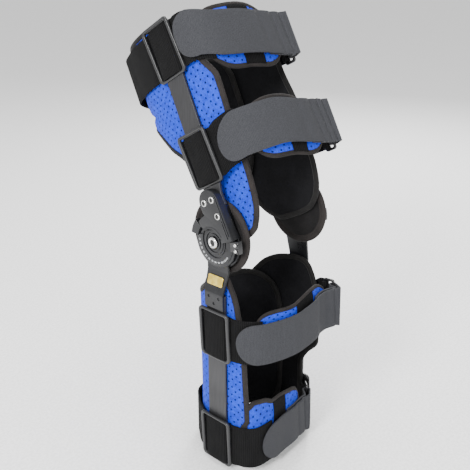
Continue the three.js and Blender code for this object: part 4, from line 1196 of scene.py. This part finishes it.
def make_guide(strap, side, word):
    limb = strap["limb"]
    s = strap["s"] - (strap["drop"] if side == INNER else 0)
    name = f"strap_guide_{strap['place']}_{word}"
    frame_part = plate(
        [rounded_outline(GUIDE_WIDTH / 2, GUIDE_HEIGHT / 2, 5.5),
         rounded_outline(GUIDE_WIDTH / 2 - GUIDE_RAIL, STRAP_WIDTH / 2 + 1, 2.4)],
        -GUIDE_THICK, 0.15, 1.25, 4)
    for vert in frame_part.verts:
        bow = 1 - (vert.co.y / (GUIDE_HEIGHT / 2)) ** 2
        vert.co.x += math.copysign(0.5 * bow, vert.co.x)
        if abs(vert.co.y) > STRAP_WIDTH / 2:
            vert.co.y += math.copysign(0.35 * math.sin(vert.co.x / 2.6), vert.co.y)
    lips = []
    for way in (1, -1):
        lip = plate([rounded_outline(GUIDE_WIDTH / 2 - GUIDE_RAIL - 1, 0.9, 0.8)], -3.3, -1.3, 0.5, 2)
        moved(lip, (0, way * (STRAP_WIDTH / 2 + 1.3), 0))
        lips.append(lip)
    bm = joined([frame_part] + lips)
    tilt = -math.atan(limb["flare"][side] * limb["up"])
    on_side(bm, side, (limb["bar"], s), tilt, guide_face(limb, side, s))
    piece(f"{name}_frame", bm, limb, [GUIDE], "guide", [name], smooth=40)


def make_ring(strap):
    """The ring that a front strap turns round."""
    limb, centre = strap["limb"], ring_place(strap)[0]
    bm = plate(
        [rounded_outline(RING_LENGTH / 2, RING_HEIGHT / 2, 3.4),
         rounded_outline(RING_LENGTH / 2 - RING_BAR, RING_HEIGHT / 2 - RING_BAR, 1.4)],
        -RING_THICK / 2, RING_THICK / 2, 1.3, 4)
    stood_up(bm, 1)
    placed(bm, Matrix.Rotation(math.radians(strap["heading"] + 90), 4, "Z"))
    moved(bm, (*centre, strap["s"] + rise_at(strap, *centre)))
    bmesh.ops.recalc_face_normals(bm, faces=bm.faces)
    name = f"strap_ring_{strap['place']}"
    piece(f"{name}_moulding", bm, limb, [RING], "guide", [name], smooth=40)


def hinge_piece(name, bm, side, limb, finishes, slot, replaced=(), smooth=40, **place):
    """A piece drawn flat in (y, s, out) and put in its place on one side of the leg."""
    return piece(name, on_side(bm, side, **place), limb, finishes, slot, replaced, smooth=smooth)


ARM_LEFT, ARM_RIGHT = THIGH["bar"] - BAR_WIDTH / 2, THIGH["bar"] + BAR_WIDTH / 2
ARM_TOP, ARM_FOOT, ARM_STEP, HUB_BITE = 52.0, -5.0, 31.0, 14.85
ARM_RIVETS = [
    ("back", THIGH["bar"] + 5.8, 40.0), ("front", THIGH["bar"] - 6.6, 40.2), ("low", THIGH["bar"] - 6.6, 22.8)]
ROLL = 3.6
PIN_RADIUS, PIN_FROM, PIN_TO = 33.75, 192, 213
FIGURE_RADIUS, FIGURE_SIZE, FIRST_ANGLE, LAST_ANGLE = 22.2, 2.7, 8, -142
LABEL_HALF_WIDTH, LABEL_HALF_HEIGHT, LABEL_RISE = 10.75, 5.25, 2.0


def cover_outline(grow):
    """The cover's outline, with the bite round the dial's hub and the half-round top."""
    outline = [(ARM_LEFT - grow, ARM_FOOT - grow)] + arc(0, 0, HUB_BITE, 194.7, 77, 30)
    outline += [(7.5 + grow, 20 - grow), (7.5 + grow, 25.6 + grow), (-4.5, 28.6 + grow),
                (ARM_RIGHT + grow, 31.5 + grow)]
    return outline + arc(THIGH["bar"], ARM_TOP - BAR_WIDTH / 2, BAR_WIDTH / 2 + grow, 0, 180, 28)


def cover_ridge(start, end, foot, top, slant, rise, bevel):
    """A raised line up the cover's front edge."""
    start, end = ARM_LEFT + start, ARM_LEFT + end
    outline = [(start, foot), (end, foot), (end, top), (start, top - slant)]
    return plate([outline], HINGE_FRONT - 0.2, HINGE_FRONT + rise, bevel, 2)


def ring_plate(outer, inner, steps, low, high, bevel):
    return plate([arc(0, 0, outer, 0, 360, steps)[:-1], arc(0, 0, inner, 360, 0, steps)[:-1]], low, high, bevel, 2)


def disc(radius, low, high, steps=24):
    return lathe([(0, low), (radius, low), (radius, high), (0, high)], steps)


def make_upper_arm(side, word):
    """The arm's moulding, and over it the cover, its ridges and the rim round the hub."""
    name = f"hinge_upper_arm_{word}"
    piece(f"{name}_moulding", node_form(name), "thigh_side", [PLASTIC], "plastic", [name], turned=False, smooth=30)
    parts = [
        plate([cover_outline(0.15)], COVER_FACE + 0.05, HINGE_FRONT + 0.12, 0.55),
        ring_plate(29.3, 24.5, 96, HINGE_OUT - 0.05, HINGE_OUT + 2.05, 0.4),
        cover_ridge(1.4, 2.6, 0, 46, 2, 1.1, 0.35),
        cover_ridge(4.2, 5.1, -2, 17, 0, 0.8, 0.25),
    ]
    rim = ring_plate(17.2, 14.9, 47, HINGE_FRONT - 0.2, HINGE_FRONT + 0.35, 0.15)
    hidden = [v for v in rim.verts if v.co.y < -2.5 - 0.1 * v.co.x or (v.co.x > 0 and v.co.y < v.co.x * 1.1)]
    bmesh.ops.delete(rim, geom=hidden, context="VERTS")
    hinge_piece(f"hinge_cover_{word}", joined(parts + [rim]), side, THIGH, [PLASTIC], "plastic")


def make_rivets(side, word):
    """Rolled steel tubes through the arm and the knee axis, each with a near-black disc in its bore as painted
    shade.
    """
    seat = HINGE_FRONT + FIT - 0.2
    for rivet, y, s in ARM_RIVETS:
        name = f"arm_rivet_{rivet}_{word}"
        behind = HINGE_OUT if s > ARM_STEP else HINGE_OUT - FIT
        tube = lathe([(0, behind - 0.7), (3.2, behind - 0.7), (3.3, behind - 0.1), (2.2, behind), (2.2, seat),
                      (3.5, seat), (3.6, seat + 0.5), (3.3, seat + 1.2), (2.8, seat + 1.45), (2.3, seat + 1.3),
                      (2.1, seat + 0.7), (2.1, seat - 0.6), (0, seat - 0.6)], 40)
        hinge_piece(f"{name}_tube", tube, side, THIGH, [STEEL], "steel", [name], smooth=50, at=(y, s))
        # Painted shade: a near-black disc inside the tube's bore.
        bore = disc(2.05, seat - 0.5, seat + 1.1)
        hinge_piece(f"{name}_bore", bore, side, THIGH, [SHADOW], "plastic", at=(y, s))
    foot, seat = PAD_OUT + FIT, COVER_FACE + 1.0
    tube = lathe([(0, foot), (6.0, foot), (6.2, foot + 0.2), (6.2, foot + 0.9), (4, foot + 1.0), (4, seat),
                  (6.0, seat), (6.3, seat + 0.5), (6.1, seat + 1.4), (5.4, seat + 2.3), (4.6, seat + 2.6),
                  (3.7, seat + 2.4), (3.2, seat + 1.7), (3.0, seat + 0.6), (3.0, seat - 1.0), (0, seat - 1.0)], 56)
    hinge_piece(f"hinge_pivot_{word}_tube", tube, side, THIGH, [STEEL], "steel", [f"hinge_pivot_{word}"], smooth=50)
    # Painted shade: a near-black disc inside the pivot's bore.
    bore = disc(2.95, seat - 0.9, seat + 1.6, 32)
    hinge_piece(f"hinge_pivot_{word}_bore", bore, side, THIGH, [SHADOW], "plastic")


def make_dial(side, word):
    """The dial with its stepped hub, its figures and the small index hole, a near-black disc of painted shade."""
    face, hub = COVER_FACE - FIT, COVER_FACE - FIT + 1.0
    dial = lathe([(4.3, DIAL_FACE), (27.6, DIAL_FACE), (28, DIAL_FACE + 0.4), (28, face - 1.3), (27.7, face - 1.0),
                  (25.7, face - 1.0), (25.4, face - 0.9), (25.4, face - 0.2), (25.1, face), (17.1, face),
                  (16.9, face - 0.9), (15.3, face - 0.9), (15.1, face), (13.2, face), (13, face + 0.2),
                  (13, hub - 0.2), (12.8, hub), (11.0, hub), (10.8, hub - 0.9), (9.3, hub - 0.9), (9.1, hub),
                  (7.5, hub), (7.3, hub - 0.8), (4.3, hub - 0.8), (4.3, DIAL_FACE)], 96)
    hinge_piece(f"hinge_dial_{word}_disc", dial, side, CALF, [PLASTIC], "plastic", [f"hinge_dial_{word}"])
    figures = []
    for i in range(13):
        angle = math.radians(lerp(FIRST_ANGLE, LAST_ANGLE, i / 12))
        figure = text_mesh(str(i * 10), FIGURE_SIZE, 0.2)
        if side == OUTER:
            bmesh.ops.scale(figure, vec=(-1, 1, 1), verts=figure.verts)
        turn = Matrix.Rotation(angle + math.pi / 2, 3, "Z")
        bmesh.ops.rotate(figure, verts=figure.verts, cent=(0, 0, 0), matrix=turn)
        moved(figure, (FIGURE_RADIUS * math.cos(angle), FIGURE_RADIUS * math.sin(angle), face + 0.06))
        figures.append(figure)
    hinge_piece(f"hinge_dial_{word}_figures", joined(figures), side, CALF, [MARKS], "steel")
    # Painted shade: the index hole is a near-black disc on the dial's face.
    hole = disc(1.9, face - 0.1, face + 0.12)
    hinge_piece(f"hinge_dial_{word}_index", hole, side, CALF, [SHADOW], "plastic", at=(-17.4, -4.4))


def make_stops(side, word):
    """The two stops on the dial's rim, the front one with its steel pins."""
    for kind, finish in (("flexion", PLASTIC), ("extension", RING)):
        node_copy(f"{kind}_stop_{word}_clip", f"{kind}_stop_{word}", f"{kind}_clip_{word}", finish, "plastic", 0.35)
    for share in (0.25, 0.75):
        angle = math.radians(lerp(PIN_FROM, PIN_TO, share))
        cap = lathe([(0, HINGE_FRONT - 0.2), (1.75, HINGE_FRONT - 0.2), (1.8, HINGE_FRONT + 0.4),
                     (1.3, HINGE_FRONT + 0.9), (0, HINGE_FRONT + 1.0)], 24)
        on_side(cap, side, at=(PIN_RADIUS * math.cos(angle), PIN_RADIUS * math.sin(angle)))
        placed(cap, turn_of(THIGH))
        piece(f"extension_stop_{word}_pin_{round(share * 4)}", cap, f"extension_clip_{word}", [STEEL], "steel",
              turned=False, smooth=50)


def make_hinge(side, word):
    make_upper_arm(side, word)
    make_rivets(side, word)
    make_dial(side, word)
    make_stops(side, word)
    node_copy(f"hinge_lower_arm_{word}_strip", f"hinge_lower_arm_{word}", "calf_side", PLASTIC, "plastic", 0.3)
    for limb in LIMBS:
        node_copy(f"{limb}_bar_{word}_strip", f"{limb}_bar_{word}", f"{limb}_side", BAR, "bar", 0.5)
    make_hinge_pad(side, word)


def text_mesh(words, size, depth):
    data = bpy.data.curves.new("figure", "FONT")
    data.body = words
    data.size = size
    data.align_x = "CENTER"
    data.align_y = "CENTER"
    data.extrude = depth / 2
    data.resolution_u = 2
    return form_of_curve(data, 1e-5)


def make_hinge_pad(side, word):
    """The round cushion behind a hinge: a crowned face and a rolled rim."""
    mid, half, r = PAD_OUT - HINGE_PAD / 2, HINGE_PAD / 2, PAD_RADIUS
    front = [(r * across, mid + half * out)
             for across, out in ((0, 0.92), (0.5, 0.9), (0.7, 0.8), (0.78, 0.55), (0.8, 0.42))]
    front += [(r - ROLL + ROLL * math.cos(math.radians(a)), mid + half * math.sin(math.radians(a)))
              for a in range(150, -1, -15)]
    back = [(radius, 2 * mid - out) for radius, out in reversed(front)]
    pad = lathe(front + back[1:], 96)
    for face in pad.faces:
        face.material_index = int(face.calc_center_median().xy.length > r * 0.81)
    made = hinge_piece(f"hinge_pad_{word}_cushion", pad, side, THIGH, [PADDING, BINDING], "padding",
                       [f"hinge_pad_{word}"], smooth=70, at=(-PAD_FORWARD if side == INNER else 0, PAD_RISE))


def make_label():
    """The bare gold plate on the slope of the outer lower arm."""
    foot = max(guide_face(CALF, OUTER, 55), guide_face(CALF, OUTER, 73)) - UNDER_GUIDE + FIT
    top, bottom = (DISC_FACE + ARM, -33.0), (foot + ARM, -56.0)
    slope = math.atan2(bottom[0] - top[0], top[1] - bottom[1])
    out = (top[0] + bottom[0]) / 2 + 0.7 * math.cos(slope) - LABEL_RISE * math.sin(slope)
    s = (top[1] + bottom[1]) / 2 + 0.7 * math.sin(slope) + LABEL_RISE * math.cos(slope)
    rims = [rounded_outline(LABEL_HALF_WIDTH - inset, LABEL_HALF_HEIGHT - inset, corner)
            for inset, corner in ((0.35, 1.4), (0.85, 1.1))]
    bm = joined([plate([rounded_outline(LABEL_HALF_WIDTH, LABEL_HALF_HEIGHT, 1.6)], -0.4, 0.4, 0.25),
                 plate(rims, 0.3, 0.55, 0.08, 2)])
    hinge_piece("label_plate_gold", bm, OUTER, CALF, [GOLD], "gold", ["label_plate"], at=(0, s), tilt=-slope,
                out=out)


# Everything
for wrap in WRAPS:
    make_wrap(wrap)
for strap in STRAPS:
    make_strap(strap)
    make_pad(strap)
    make_ring(strap)
    for side, word in SIDES:
        make_guide(strap, side, word)
for side, word in SIDES:
    make_hinge(side, word)
make_label()
